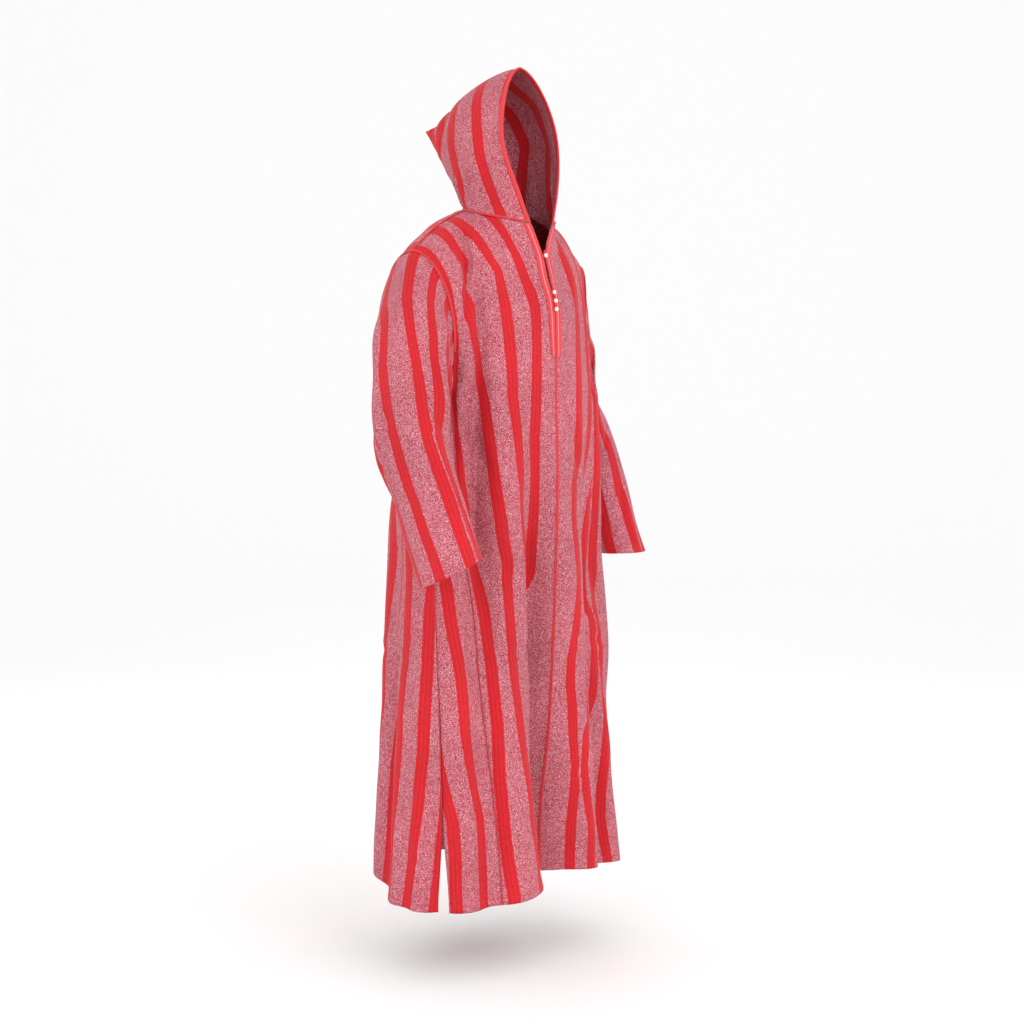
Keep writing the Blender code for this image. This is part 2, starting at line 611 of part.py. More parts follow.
# ------------------------------------------------------------------ the pieces
clear_scene()
ROBE = new_collection("djellaba")
CLOTH = finish("striped_cloth", (0.52, 0.10, 0.14), 0.92)
BRAID = finish("red_braid", (0.75, 0.06, 0.07), 0.70)
PEARL = finish("pearl", (0.88, 0.85, 0.82), 0.25)
INSIDE_CHEST = (0.0, 0.0, -0.20)
INSIDE_HOOD = (0.0, 0.03, 0.12)

yoke_downs = np.concatenate([[0.0015, 0.018, 0.045], np.linspace(0.10, 0.92, 8)])
skirt_drops = np.concatenate(
    [[ARMHOLE_DEPTH, ARMHOLE_DEPTH + 0.025], np.linspace(ARMHOLE_DEPTH + 0.07, ROBE_LENGTH, 14)]
)
gore_drops = np.concatenate([[ARMHOLE_DEPTH + SEAM_GAP], skirt_drops[1:]])

# Front panels, with the seam and the neck slit down the middle of the front
edge_shares = [0.0, BRAID_WIDTH / 2 / 0.26, BRAID_WIDTH / 0.26]
front_shares = np.concatenate(
    [edge_shares, np.linspace(0.11, NECK_SHARE, 5), np.linspace(0.48, 0.985, 6), [1.0]]
)
fronts = {}
for side, hand in ((1, "right"), (-1, "left")):
    fronts[hand] = panel_rows(side, True, front_shares, yoke_downs, skirt_drops)
    cloth_grid(f"front_panel_{hand}", fronts[hand], CLOTH)

# Back panel, one width across the whole back
back_shares = np.concatenate([[0.0], np.linspace(0.10, NECK_SHARE, 3),
                              np.linspace(0.50, 0.985, 5), [1.0]])
halves = [panel_rows(side, False, back_shares, yoke_downs, skirt_drops) for side in (1, -1)]
cloth_grid("back_panel", np.concatenate([halves[0][:, ::-1], halves[1][:, 1:]], axis=1), CLOTH)

# Side gores, two on each side with the side seam and the slit between them
for side, hand in ((1, "right"), (-1, "left")):
    cloth_grid(f"front_gore_{hand}", gore_rows(side, True, 5, gore_drops), CLOTH)
    cloth_grid(f"back_gore_{hand}", gore_rows(side, False, 6, gore_drops), CLOTH)

# Sleeves, each a tube that is closed along the underarm
sleeve_alongs = np.concatenate([[0.0, 0.02], np.linspace(0.07, 1.0, 11)])
for side, hand, table, folds in (
    (1, "right", RIGHT_SLEEVE, RIGHT_SLEEVE_FOLDS), (-1, "left", LEFT_SLEEVE, LEFT_SLEEVE_FOLDS)
):
    rows = sleeve_rows(side, table, folds, 25, sleeve_alongs)
    cloth_grid(f"sleeve_{hand}", rows, CLOTH, round_it=True)
    cord(f"armhole_cord_{hand}", armhole_cord_line(side, table), CORD_RADIUS, BRAID)

# Hood, one width folded over the top and sewn to itself down the back
hood_shares = np.concatenate([[0.0, 0.03], np.linspace(0.10, 0.90, 8), [0.96, 1.0]])
hood_heights = np.concatenate([[0.0, 0.03], np.linspace(0.09, 1.0, 12)])
hood = np.array([hood_rib(share, hood_heights) for share in hood_shares])
cloth_grid("hood", hood, CLOTH, round_it=True)

# Braid along the hood's opening, and flat on both sides of the neck slit
over_cloth = WALL / 2 + TRIM_CLEAR + BRAID_WALL / 2
edge = moved_out(hood[:, 1:-1], over_cloth, INSIDE_HOOD)[:2]
cloth_grid("hood_braid", edge, BRAID, BRAID_WALL)
ends = int(np.argmax(-fronts["right"][:, 0, 2] > PLACKET_END)) + 1
bands = {}
for hand in ("right", "left"):
    band = moved_out(fronts[hand], over_cloth, INSIDE_CHEST)[1:ends, :3]
    band[-1, 1:] += (band[-2, 1:] - band[-1, 1:]) * np.array([[0.25], [0.50]])
    bands[hand] = band
    cloth_grid(f"placket_braid_{hand}", band, BRAID, BRAID_WALL)

# Cords on the neckline and on the shoulder seams
feet = np.concatenate([hood[1:, 0], hood[1:-1, -1][::-1]])
climb = np.concatenate([hood[1:, 1], hood[1:-1, -2][::-1]]) - feet
away = feet * [1.0, 1.0, 0.0]
away /= np.linalg.norm(away, axis=1, keepdims=True)
lean = np.stack([np.sum(climb * away, axis=1), climb[:, 2]], axis=1)
lean /= np.linalg.norm(lean, axis=1, keepdims=True)
corner = np.stack([lean[:, 1] + 0.25, 0.97 - lean[:, 0]], axis=1)
corner /= np.linalg.norm(corner, axis=1, keepdims=True)
beside = CORD_RADIUS + WALL / 2 + CORD_CLEAR
lift = beside / (corner @ [0.25, 0.97])
neck_line = feet + away * (corner[:, :1] * lift[:, None])
neck_line[:, 2] += corner[:, 1] * lift
cord("neck_cord", neck_line, CORD_RADIUS, BRAID)
for side, hand in ((1, "right"), (-1, "left")):
    seam = np.array([top_edge(side, True, share) for share in np.linspace(0.44, 0.955, 9)])
    slope = np.array([-side * 0.42, 0.0, 0.91])
    cord(f"shoulder_cord_{hand}", seam + slope * beside, CORD_RADIUS, BRAID)

# Buttons down the neck slit, each in its loop, seated on the braid's inner edges
for number, drop in enumerate(BUTTON_DROPS, 1):
    edges = [on_column(bands[hand][:, 0], -drop) for hand in ("right", "left")]
    place = Vector((edges[0][0] + edges[1][0]) / 2)
    facing = Vector(edges[0][1] + edges[1][1]).cross(Vector((1.0, 0.0, 0.0))).normalized()
    facing = -facing if facing.y > 0 else facing
    seat = BRAID_WALL / 2 + BUTTON_SEAT
    loop(f"button_loop_{number}", place + facing * (seat + LOOP_CORD), facing, BRAID)
    bead(f"button_{number}", place + facing * (seat + BUTTON_RADIUS), facing, PEARL)
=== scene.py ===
"""A striped, hooded djellaba robe as it hangs when it is worn, in metres.

-Y is the wearer's front and +X the wearer's left. Each section below is one piece of the robe,
or a few like pieces, in the order in which a tailor puts them together.
"""

import math

import bmesh
import bpy
import numpy as np
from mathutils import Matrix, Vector


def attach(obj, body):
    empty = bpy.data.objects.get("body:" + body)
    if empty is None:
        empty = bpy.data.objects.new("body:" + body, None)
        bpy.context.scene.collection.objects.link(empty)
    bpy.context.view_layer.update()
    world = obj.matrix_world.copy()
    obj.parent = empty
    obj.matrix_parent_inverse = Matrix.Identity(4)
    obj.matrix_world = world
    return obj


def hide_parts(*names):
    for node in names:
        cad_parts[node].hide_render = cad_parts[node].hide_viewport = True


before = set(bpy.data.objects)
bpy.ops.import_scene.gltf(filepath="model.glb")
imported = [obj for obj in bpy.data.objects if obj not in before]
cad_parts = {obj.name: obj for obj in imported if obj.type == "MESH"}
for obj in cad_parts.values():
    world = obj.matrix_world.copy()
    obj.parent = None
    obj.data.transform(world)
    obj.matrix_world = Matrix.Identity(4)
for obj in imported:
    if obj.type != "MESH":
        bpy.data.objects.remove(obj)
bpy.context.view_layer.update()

# ------------------------------------------------------------------ the striped cloth
# One medium-weight cloth serves for the whole robe. It is woven with red ribbed stripes, 25 mm
# wide, between 40 mm bands of a marled yarn, in which red and white threads curl together.
STRIPE_REPEAT = 0.065
RED_STRIPE = 0.025
FINE_RIB, RIB_GROUP = 0.0021, 0.0080  # how far apart the ribs of a red stripe are, and its groups
WALL = 0.0018  # the cloth with its turnings, as in the solids
SIDES = ((1, "right"), (-1, "left"))  # the wearer's right is at -X


def wire(tree, kind, *feeds, **settings):
    """A new shader node, with its properties set and its sockets fed in order."""
    made = tree.nodes.new(kind)
    for key, value in settings.items():
        setattr(made, key, value)
    for number, feed in enumerate(feeds):
        if isinstance(feed, bpy.types.NodeSocket):
            tree.links.new(feed, made.inputs[number])
        elif feed is not None:
            made.inputs[number].default_value = feed
    return made.outputs[0]


def sum_of(tree, operation, *feeds):
    """The result of one sum, such as MULTIPLY."""
    return wire(tree, "ShaderNodeMath", *feeds, operation=operation)


def blended(tree, share, first, second):
    """Two colours mixed by a share."""
    feeds = (share, None, None, None, None, None, first, second)
    return wire(tree, "ShaderNodeMix", *feeds, data_type="RGBA").node.outputs[2]


def stepped(tree, value, low, high):
    """0 where a value is under low, 1 where it is over high, and smooth between them."""
    return wire(tree, "ShaderNodeMapRange", value, low, high, interpolation_type="SMOOTHSTEP")


def parts_of(tree, vector):
    """A vector's three numbers."""
    return wire(tree, "ShaderNodeSeparateXYZ", vector).node.outputs


def noise_at(tree, place, scale, detail=1.0, rough=0.5, twist=0.0, stretch=None):
    """A noise value about 0.5 at a place, with features 1 / scale metres across."""
    if stretch is not None:
        place = wire(tree, "ShaderNodeVectorMath", place, stretch, operation="MULTIPLY")
    made = wire(tree, "ShaderNodeTexNoise", place).node
    for label, value in (("Scale", scale), ("Detail", detail), ("Roughness", rough),
                         ("Distortion", twist)):
        made.inputs[label].default_value = value
    return made.outputs[0]


def group_of(name, inputs, outputs):
    """A node group, its entry's sockets and its exit. `inputs` gives each one's own value."""
    tree = bpy.data.node_groups.new(name, "ShaderNodeTree")
    for label, value in inputs.items():
        kind = "Vector" if value is None else "Float" if isinstance(value, float) else "Color"
        socket = tree.interface.new_socket(label, in_out="INPUT", socket_type=f"NodeSocket{kind}")
        if value is not None:
            socket.default_value = value
    for label in outputs:
        kind = "Color" if label == "Colour" else "Float"
        tree.interface.new_socket(label, in_out="OUTPUT", socket_type=f"NodeSocket{kind}")
    entry, leave = tree.nodes.new("NodeGroupInput"), tree.nodes.new("NodeGroupOutput")
    return tree, entry.outputs, leave


def put_out(tree, leave, *results):
    """The node group, with its results linked to its exit."""
    for number, result in enumerate(results):
        tree.links.new(result, leave.inputs[number])
    return tree


def marled_yarn():
    """The marled bands: a rose ground with curls of white thread and flecks of deep red."""
    tree, entry, leave = group_of(
        "marled_yarn",
        {"Cloth": None, "Ground": (0.49, 0.030, 0.066, 1), "White thread": (0.94, 0.56, 0.62, 1),
         "Dark fleck": (0.27, 0.006, 0.022, 1)},
        ("Colour", "Height"),
    )
    cloth, ground, white, dark = entry[:4]
    curl = noise_at(tree, cloth, 500.0, 1.0, 0.5, 0.8)
    off = sum_of(tree, "ABSOLUTE", sum_of(tree, "SUBTRACT", curl, 0.50))
    thread = sum_of(tree, "SUBTRACT", 1.0, stepped(tree, off, 0.016, 0.052))
    fleck = stepped(tree, noise_at(tree, cloth, 740.0, 0.0, 0.5, 0.3), 0.50, 0.58)
    cloudy = stepped(tree, noise_at(tree, cloth, 30.0, 2.0, 0.6), 0.20, 0.80)
    thread = sum_of(tree, "MULTIPLY", thread, sum_of(tree, "MULTIPLY_ADD", cloudy, 0.16, 0.84))
    colour = blended(tree, thread, blended(tree, fleck, ground, dark), white)
    height = sum_of(tree, "SUBTRACT", thread, sum_of(tree, "MULTIPLY", fleck, 0.6))
    return put_out(tree, leave, colour, height)


def ribbed_red():
    """The red stripes: fine ribs along the stripe, and deeper grooves between groups of ribs with
    painted shade in them.
    """
    tree, entry, leave = group_of(
        "ribbed_red",
        {"Cloth": None, "Across": 0.0, "Red": (0.62, 0.010, 0.018, 1),
         "Deep red": (0.33, 0.004, 0.010, 1)},
        ("Colour", "Height"),
    )
    cloth, across, red, deep_red = entry[:4]
    shake = sum_of(tree, "MULTIPLY_ADD", noise_at(tree, cloth, 45.0, 2.0), 0.0008, -0.0004)
    placed = sum_of(tree, "ADD", across, shake)
    fine = sum_of(tree, "SINE", sum_of(tree, "MULTIPLY", placed, 2 * math.pi / FINE_RIB))
    broad = sum_of(tree, "COSINE", sum_of(tree, "MULTIPLY", placed, 2 * math.pi / RIB_GROUP))
    groove = stepped(tree, broad, 0.74, 1.0)
    slub = noise_at(tree, cloth, 420.0, 1.0, 0.5, 0.0, (1.0, 0.25, 1.0))
    uneven = sum_of(tree, "MULTIPLY", stepped(tree, slub, 0.42, 0.70), 0.30)
    # Painted shade: the grooves take the deep red, and the slubs darken it at random as the yarn's
    # own uneven tone.
    colour = blended(tree, sum_of(tree, "MULTIPLY_ADD", groove, 0.60, uneven), red, deep_red)
    height = sum_of(tree, "SUBTRACT", sum_of(tree, "MULTIPLY", fine, 0.35), groove)
    return put_out(tree, leave, colour, sum_of(tree, "ADD", height, slub))


def stripe_layout():
    """Which stripe a place is in: its share of red, and its distance from the red's middle."""
    tree, entry, leave = group_of(
        "stripe_layout", {"Cloth": None, "Repeat": STRIPE_REPEAT, "Red width": RED_STRIPE},
        ("Red", "Across"),
    )
    cloth, repeat, width = entry[:3]
    picks = noise_at(tree, cloth, 260.0, 1.0, 0.5, 0.0, (0.3, 1.0, 1.0))
    ragged = sum_of(tree, "MULTIPLY_ADD", picks, 0.0032, -0.0016)
    placed = sum_of(tree, "ADD", parts_of(tree, cloth)[0], ragged)
    turn = sum_of(tree, "DIVIDE", placed, repeat)
    turn = sum_of(tree, "SUBTRACT", turn, sum_of(tree, "ROUND", turn))
    across = sum_of(tree, "MULTIPLY", turn, repeat)
    gap = sum_of(tree, "SUBTRACT", sum_of(tree, "ABSOLUTE", across),
                 sum_of(tree, "MULTIPLY", width, 0.5))
    red = sum_of(tree, "SUBTRACT", 1.0, stepped(tree, gap, -0.0003, 0.0003))
    return put_out(tree, leave, red, across)


def hem_stitches():
    """A row of stitches beside a turned edge, from the distance to the edge and along it."""
    tree, entry, leave = group_of(
        "hem_stitches", {"Edge": None, "Hem width": 0.013, "Stitch length": 0.0045},
        ("Stitch", "Turning"),
    )
    edge, width, stitch = entry[:3]
    parts = parts_of(tree, edge)
    off = sum_of(tree, "ABSOLUTE", sum_of(tree, "SUBTRACT", parts[0], width))
    line = sum_of(tree, "SUBTRACT", 1.0, stepped(tree, off, 0.0004, 0.0014))
    run = sum_of(tree, "FRACT", sum_of(tree, "DIVIDE", parts[1], stitch))
    dash = sum_of(tree, "SUBTRACT", 1.0, stepped(tree, run, 0.70, 0.85))
    turned = stepped(tree, sum_of(tree, "SUBTRACT", width, parts[0]), -0.0010, 0.0010)
    return put_out(tree, leave, sum_of(tree, "MULTIPLY", line, dash), turned)


MARLED, RIBBED, STRIPES, STITCHES = marled_yarn(), ribbed_red(), stripe_layout(), hem_stitches()


def grouped(tree, group, *feeds):
    """The results of a node group, fed in order."""
    return wire(tree, "ShaderNodeGroup", *feeds, node_tree=group).node.outputs


def new_material(name):
    """A material and its nodes."""
    made = bpy.data.materials.new(name)
    made.use_nodes = True
    return made, made.node_tree


def surfaced(made, colour, rough, height, strength, distance, **values):
    """The material with its shader fed: colour, roughness, a bump and values of its sockets."""
    tree = made.node_tree
    shader = tree.nodes["Principled BSDF"]
    bump = tree.nodes.new("ShaderNodeBump")
    bump.inputs["Strength"].default_value = strength
    bump.inputs["Distance"].default_value = distance
    tree.links.new(height, bump.inputs["Height"])
    for label, feed in (("Base Color", colour), ("Roughness", rough), ("Normal", bump.outputs[0])):
        tree.links.new(feed, shader.inputs[label])
    for label, value in values.items():
        shader.inputs[label.replace("_", " ")].default_value = value
    return made


def striped_cloth(name):
    """The robe's cloth. It reads the piece's flat cut in metres from the UV map `cut`."""
    made, tree = new_material(name)
    cut = wire(tree, "ShaderNodeUVMap", uv_map="cut")
    place = wire(tree, "ShaderNodeTexCoord").node.outputs["Object"]
    red, across = grouped(tree, STRIPES, cut)[:2]
    marled, curls = grouped(tree, MARLED, place)[:2]
    ribbed, ribs = grouped(tree, RIBBED, cut, across)[:2]
    height = wire(tree, "ShaderNodeMix", red, None, curls, ribs)
    stitch, turning = grouped(tree, STITCHES, wire(tree, "ShaderNodeUVMap", uv_map="edge"))[:2]
    sewn = sum_of(tree, "MULTIPLY", stitch, 0.75)
    colour = blended(tree, sewn, blended(tree, red, marled, ribbed), (0.60, 0.030, 0.045, 1.0))
    height = sum_of(tree, "MULTIPLY_ADD", turning, 1.6, height)
    height = sum_of(tree, "MULTIPLY_ADD", stitch, -2.2, height)
    faded = stepped(tree, noise_at(tree, place, 5.5, 3.0, 0.55), 0.25, 0.75)
    shade = sum_of(tree, "MULTIPLY_ADD", faded, 0.16, 0.90)
    colour = wire(tree, "ShaderNodeVectorMath", colour, None, None, shade, operation="SCALE")
    return surfaced(
        made, colour, sum_of(tree, "MULTIPLY_ADD", red, -0.14, 0.90), height, 0.55, 0.00055,
        Specular_IOR_Level=0.30, Sheen_Weight=0.12, Sheen_Roughness=0.45,
        Sheen_Tint=(1.0, 0.72, 0.76, 1.0),
    )


CLOTH = striped_cloth("striped_cloth")

# ------------------------------------------------------------------ the front panels
# Two long widths, one on each side of the centre front. Each runs over the chest from half of
# the neckline and a shoulder seam down to the hem, and the two are sewn together below the slit.
NECK_HALF_WIDTH = 0.086
NECK_FRONT = 0.098
NECK_BACK = 0.084
NECK_RISE = 0.21  # how fast the neckline climbs from front to back
SLIT_CORNER = 20.0  # degrees from the centre front to where the open neckline starts
SHOULDER_NECK = 118.0  # degrees round the neck at which the shoulder seam starts
SHOULDER_TIPS = {1: (0.244, 0.014, -0.080), -1: (0.237, 0.032, -0.088)}
SHOULDER_RISES = {1: 0.012, -1: 0.021}
ARMHOLE_DEPTH = 0.360
ARMHOLE_BOW = {"right_front": 0.030, "right_back": 0.068, "left_front": -0.022, "left_back": 0.050}
ARMHOLE_EARLY = {"right_front": 1.0, "right_back": 0.60, "left_front": 1.0, "left_back": 1.00}
YOKE_FULLNESS = {"front": 2.20, "back": 2.74}
NECK_FULLNESS = 0.010  # how far the front bows out beside the neck
NECK_SHARE = 0.38  # share of the top edge that is neckline, the rest is shoulder seam
ROBE_LENGTH = 1.343
SEAM_GAP = 0.0005  # between the edges of two pieces that are sewn together
PANEL_WIDTH = 0.262  # cut width of half the front or back
FRONT_GORE_WIDTH, BACK_GORE_WIDTH = 0.10, 0.13
QUARTER_WIDTH = 0.33  # of the skirt, for its creases
SLIT_LENGTH = 0.19
SLIT_OPEN = 0.011  # at the hem, on each side of the slit
DIP_DEPTH, DIP_REACH = 0.0013, 0.0045  # how far sewn edges press the cloth in
FAR_OFF = 9.0  # past any edge or crease
CLOTH_STEP = 0.0056  # between the threads of points across a piece
DOWN_STEP = 0.0068  # and down it
# Level rings of the skirt, in metres and degrees, counted from the front (0) to the wearer's
# right (90) and left (-90).
BODY_RINGS = {
    "drop":        (0.360, 0.500, 0.700, 0.870, 1.050, 1.200, 1.343),
    "half_width":  (0.224, 0.234, 0.246, 0.262, 0.278, 0.292, 0.306),
    "front":       (0.132, 0.136, 0.132, 0.136, 0.146, 0.155, 0.166),
    "back":        (0.176, 0.216, 0.248, 0.250, 0.243, 0.242, 0.241),
    "front_seam":  (0.000, -0.80, -3.60, -6.60, -9.80, -11.6, -13.5),
    "back_seam":   (180.0, 179.0, 176.0, 174.0, 172.0, 170.0, 168.0),
    "right_seam":  (90.00, 84.00, 74.00, 68.00, 63.00, 60.00, 58.00),
    "left_seam":   (-90.0, -90.0, -91.0, -92.0, -93.0, -94.0, -95.0),
    "gore_front":  (0.050, 0.066, 0.083, 0.096, 0.110, 0.124, 0.134),
    "gore_back":   (0.050, 0.066, 0.090, 0.110, 0.134, 0.154, 0.174),
}
# The large folds of the body, as the solids have them.
BODY_FOLDS = {
    "name":   ("chest_right", "front_crease", "knee_valley", "chest_left", "front_left",
               "shin_left", "hem_left", "thigh_right", "calf_right", "back_right",
               "back_mid_right", "back_centre", "back_mid_left", "back_left", "side_left",
               "side_back_right"),
    "top":    (50.0, 16.0, 8.0, -50.0, -30.0, -56.0, -82.0, 46.0, 78.0, 114.0,
               138.0, 172.0, -154.0, -130.0, -108.0, 96.0),
    "bottom": (40.0, -9.0, -13.0, -56.0, -44.0, -66.0, -84.0, 34.0, 62.0, 108.0,
               134.0, 168.0, -156.0, -134.0, -112.0, 84.0),
    "start":  (0.06, 0.30, 0.62, 0.10, 0.30, 0.66, 0.80, 0.34, 0.62, 0.32,
               0.30, 0.34, 0.30, 0.34, 0.45, 0.70),
    "full":   (0.20, 0.80, 1.34, 0.30, 0.80, 1.20, 1.30, 0.80, 1.30, 1.15,
               1.20, 1.30, 1.20, 1.20, 1.30, 1.34),
    "end":    (0.80, 9.00, 9.00, 0.90, 9.00, 9.00, 9.00, 9.00, 9.00, 9.00,
               9.00, 9.00, 9.00, 9.00, 9.00, 9.00),
    "depth":  (0.036, 0.062, 0.080, 0.030, 0.046, 0.036, 0.026, 0.028, 0.018, 0.028,
               0.032, 0.036, 0.032, 0.030, 0.026, 0.014),
    "width":  (8.0, 8.0, 20.0, 9.0, 9.0, 8.0, 8.0, 8.0, 8.0, 8.0,
               9.0, 10.0, 9.0, 8.0, 8.0, 8.0),
}
# How far the hem is lifted off its level, round the body.
HEM_LIFT = {
    "angle": (-180.0, -130.0, -90.0, -45.0, -19.0, 12.0, 40.0, 66.0, 95.0, 125.0, 160.0, 180.0),
    "lift":  (0.0300, 0.0340, 0.026, 0.026, 0.030, 0.012, 0.000, 0.000, 0.010, 0.055, 0.050, 0.030),
}
# Rises and dips of the shoulders and the chest, by the share of a panel's width.
YOKE_FOLDS = {
    "at":    (0.76, 0.94, 0.46),
    "width": (0.10, 0.08, 0.10),
    "from":  (0.10, 0.20, 0.30),
    "depth": (-.010, 0.008, 0.007),
}
# How far each edge of the neck slit has closed in from its top, and how far forward it lies.
NECK_OPENING = {
    "drop":    (0.019, 0.050, 0.083, 0.124, 0.150, 0.175, 0.400),
    "closed":  (0.0000, 0.0144, 0.0275, 0.0258, 0.0278, 0.0291, 0.0294),
    "forward": (0.0000, 0.0024, 0.0064, 0.0194, 0.0269, 0.0324, 0.0394),
}
# Creases of the front, as paths of (share of the half front, drop) in which + is the wearer's
# right, with each one's depth, half width and the ridge that the cloth throws up beside it.
FRONT_CREASES = (
    (((0.50, 0.035), (0.53, 0.056), (0.57, 0.10), (0.67, 0.152), (0.73, 0.195), (0.78, 0.24)),
     0.0080, 0.010, 0.45),
    (((0.86, 0.20), (0.80, 0.30), (0.62, 0.44), (0.50, 0.54)), 0.0055, 0.016, 0.30),
    (((0.92, 0.30), (0.78, 0.40), (0.60, 0.47)), 0.0040, 0.012, -0.35),
    (((0.30, 0.46), (0.24, 0.60), (0.20, 0.72)), 0.0045, 0.018, 0.35),
    (((0.10, 0.86), (0.34, 0.842), (0.60, 0.865), (0.98, 0.872)), 0.0024, 0.010, -0.60),
    (((0.52, 0.60), (0.46, 0.80), (0.44, 1.02)), 0.0048, 0.020, 0.30),
    (((0.86, 0.50), (0.80, 0.72), (0.82, 0.98)), 0.0050, 0.018, -0.30),
    (((0.80, 0.27), (0.81, 0.36), (0.80, 0.48), (0.77, 0.62)), 0.0150, 0.020, 0.0),
    (((0.72, 1.00), (0.68, 1.16), (0.66, 1.34)), 0.0050, 0.018, 0.35),
    (((0.40, 1.04), (0.34, 1.20), (0.30, 1.40)), 0.0040, 0.016, -0.30),
    (((-0.10, 0.35), (-0.22, 0.50), (-0.20, 0.66)), 0.0045, 0.015, 0.30),
    (((-0.50, 0.03), (-0.62, 0.16), (-0.66, 0.28)), 0.0050, 0.012, 0.40),
    (((-0.88, 0.24), (-0.72, 0.36), (-0.55, 0.46)), 0.0050, 0.014, -0.35),
    (((-0.08, 0.845), (-0.40, 0.850), (-0.80, 0.862)), 0.0026, 0.009, -0.60),
    (((-0.34, 0.70), (-0.30, 0.92), (-0.34, 1.12)), 0.0045, 0.018, 0.30),
    (((-0.64, 0.56), (-0.60, 0.80), (-0.66, 1.06)), 0.0050, 0.018, -0.30),
    (((-0.52, 1.04), (-0.50, 1.20), (-0.46, 1.40)), 0.0046, 0.018, 0.30),
    (((-0.84, 0.90), (-0.82, 1.14), (-0.86, 1.40)), 0.0046, 0.020, 0.30),
)


def hermite(s, first, last, leave, arrive):
    """The smooth curve from first to last that sets off along leave and ends along arrive."""
    return (
        (2 * s**3 - 3 * s**2 + 1) * first + (s**3 - 2 * s**2 + s) * leave
        + (3 * s**2 - 2 * s**3) * last + (s**3 - s**2) * arrive
    )


def eased(table, column, at, by="drop"):
    """The value of a table's column at the place `at`, on a smooth curve through its rows."""
    places, values = np.asarray(table[by], float), np.asarray(table[column], float)
    slopes = np.gradient(values, places)
    at = np.clip(at, places[0], places[-1])
    row = np.clip(np.searchsorted(places, at, side="right") - 1, 0, len(places) - 2)
    step = places[row + 1] - places[row]
    return hermite((at - places[row]) / step, values[row], values[row + 1],
                   step * slopes[row], step * slopes[row + 1])


def ramp(value, low, high):
    """0 below low, 1 above high and a smooth rise between them."""
    s = np.clip((value - low) / (high - low), 0.0, 1.0)
    return s * s * (3 - 2 * s)


def unit(ways):
    """The directions of one or more ways, each of length 1."""
    return ways / np.maximum(np.linalg.norm(ways, axis=-1, keepdims=True), 1e-12)


def lengths(points, axis=0):
    """How far along its line each point lies. Lines run down a grid, or across it on axis 1."""
    steps = np.linalg.norm(np.diff(points, axis=axis), axis=-1)
    return np.concatenate([steps.take([0], axis) * 0, steps.cumsum(axis)], axis)


def place_on(curve, shares, values=None):
    """The points that divide a curve's length by the given shares, or the values met there."""
    along, values = lengths(curve), curve if values is None else values
    columns = [np.interp(shares, along / along[-1], values[:, k]) for k in range(3)]
    return np.stack(columns, axis=1)


def fold_depths(table, angles, place, grow):
    """The summed depth of a table's folds at these angles. `grow` gives each fold's share."""
    depth = np.zeros_like(angles)
    for row, (deep, wide) in enumerate(zip(table["depth"], table["width"])):
        centre, share = grow(table, row, place)
        away = (angles - centre + 180.0) % 360.0 - 180.0
        depth += share * deep * np.exp(-((away / wide) ** 2))
    return depth


def body_fold_share(table, row, drop):
    """Where a body fold lies at this drop, and how much of it is there."""
    top, bottom = table["top"][row], table["bottom"][row]
    start, full, end = table["start"][row], table["full"][row], table["end"][row]
    along = np.clip((drop - start) / (ROBE_LENGTH - start), 0, 1)
    share = ramp(drop, start, full) * (1.0 - ramp(drop, 0.75 * end, end))
    return top + (bottom - top) * along, share


def body_ring(drop, angles):
    """Points of the body's level ring, folds and all, at these angles from the front."""
    turn = np.radians(angles)
    front, back = eased(BODY_RINGS, "front", drop), eased(BODY_RINGS, "back", drop)
    depth = np.where(np.cos(turn) > 0, front, back)
    width = eased(BODY_RINGS, "half_width", drop)
    x, y = -width * np.sin(turn), -depth * np.cos(turn)
    inward = fold_depths(BODY_FOLDS, angles, drop, body_fold_share)[:, None]
    x, y = (np.stack([x, y], axis=1) - inward * unit(np.stack([x / width**2, y / depth**2], 1))).T
    wrapped = (angles + 180.0) % 360.0 - 180.0
    lift = np.interp(wrapped, HEM_LIFT["angle"], HEM_LIFT["lift"]) * ramp(drop, 0.75, ROBE_LENGTH)
    return np.stack([x, y, lift - drop], axis=1)


def quarter(side, front, drop):
    """A quarter of the ring, from the centre line to the side seam, and its cut width."""
    seam = eased(BODY_RINGS, "right_seam" if side > 0 else "left_seam", drop)
    centre = eased(BODY_RINGS, "front_seam" if front else "back_seam", drop)
    if not front and side < 0:
        centre -= 360.0
    curve = body_ring(drop, np.linspace(centre, seam, 241))
    return curve, float(lengths(curve)[-1])


def gore_share(side, front, drop):
    """The share of a quarter at which the gore is sewn to the panel."""
    gore = float(eased(BODY_RINGS, "gore_front" if front else "gore_back", drop))
    return 1.0 - gore / quarter(side, front, drop)[1]


def neck_point(angle):
    """A point of the neckline, at an angle from the front to the wearer's right."""
    turn = math.radians(angle)
    y = -(NECK_FRONT if math.cos(turn) > 0 else NECK_BACK) * math.cos(turn)
    return np.array([-NECK_HALF_WIDTH * math.sin(turn), y, NECK_RISE * y])


def top_edge(side, front, across):
    """The top edge of a panel: its part of the neckline, then its shoulder seam."""
    first = SLIT_CORNER if front else 180.0
    if across <= NECK_SHARE:
        point = neck_point(first + (SHOULDER_NECK - first) * across / NECK_SHARE)
    else:
        share = (across - NECK_SHARE) / (1.0 - NECK_SHARE)
        start = neck_point(SHOULDER_NECK)
        tip = np.array(SHOULDER_TIPS[side]) * np.array([-1.0, 1.0, 1.0])
        point = start + (tip - start) * share
        point[2] += SHOULDER_RISES[side] * math.sin(math.pi * share)
    return point * np.array([side, 1.0, 1.0])


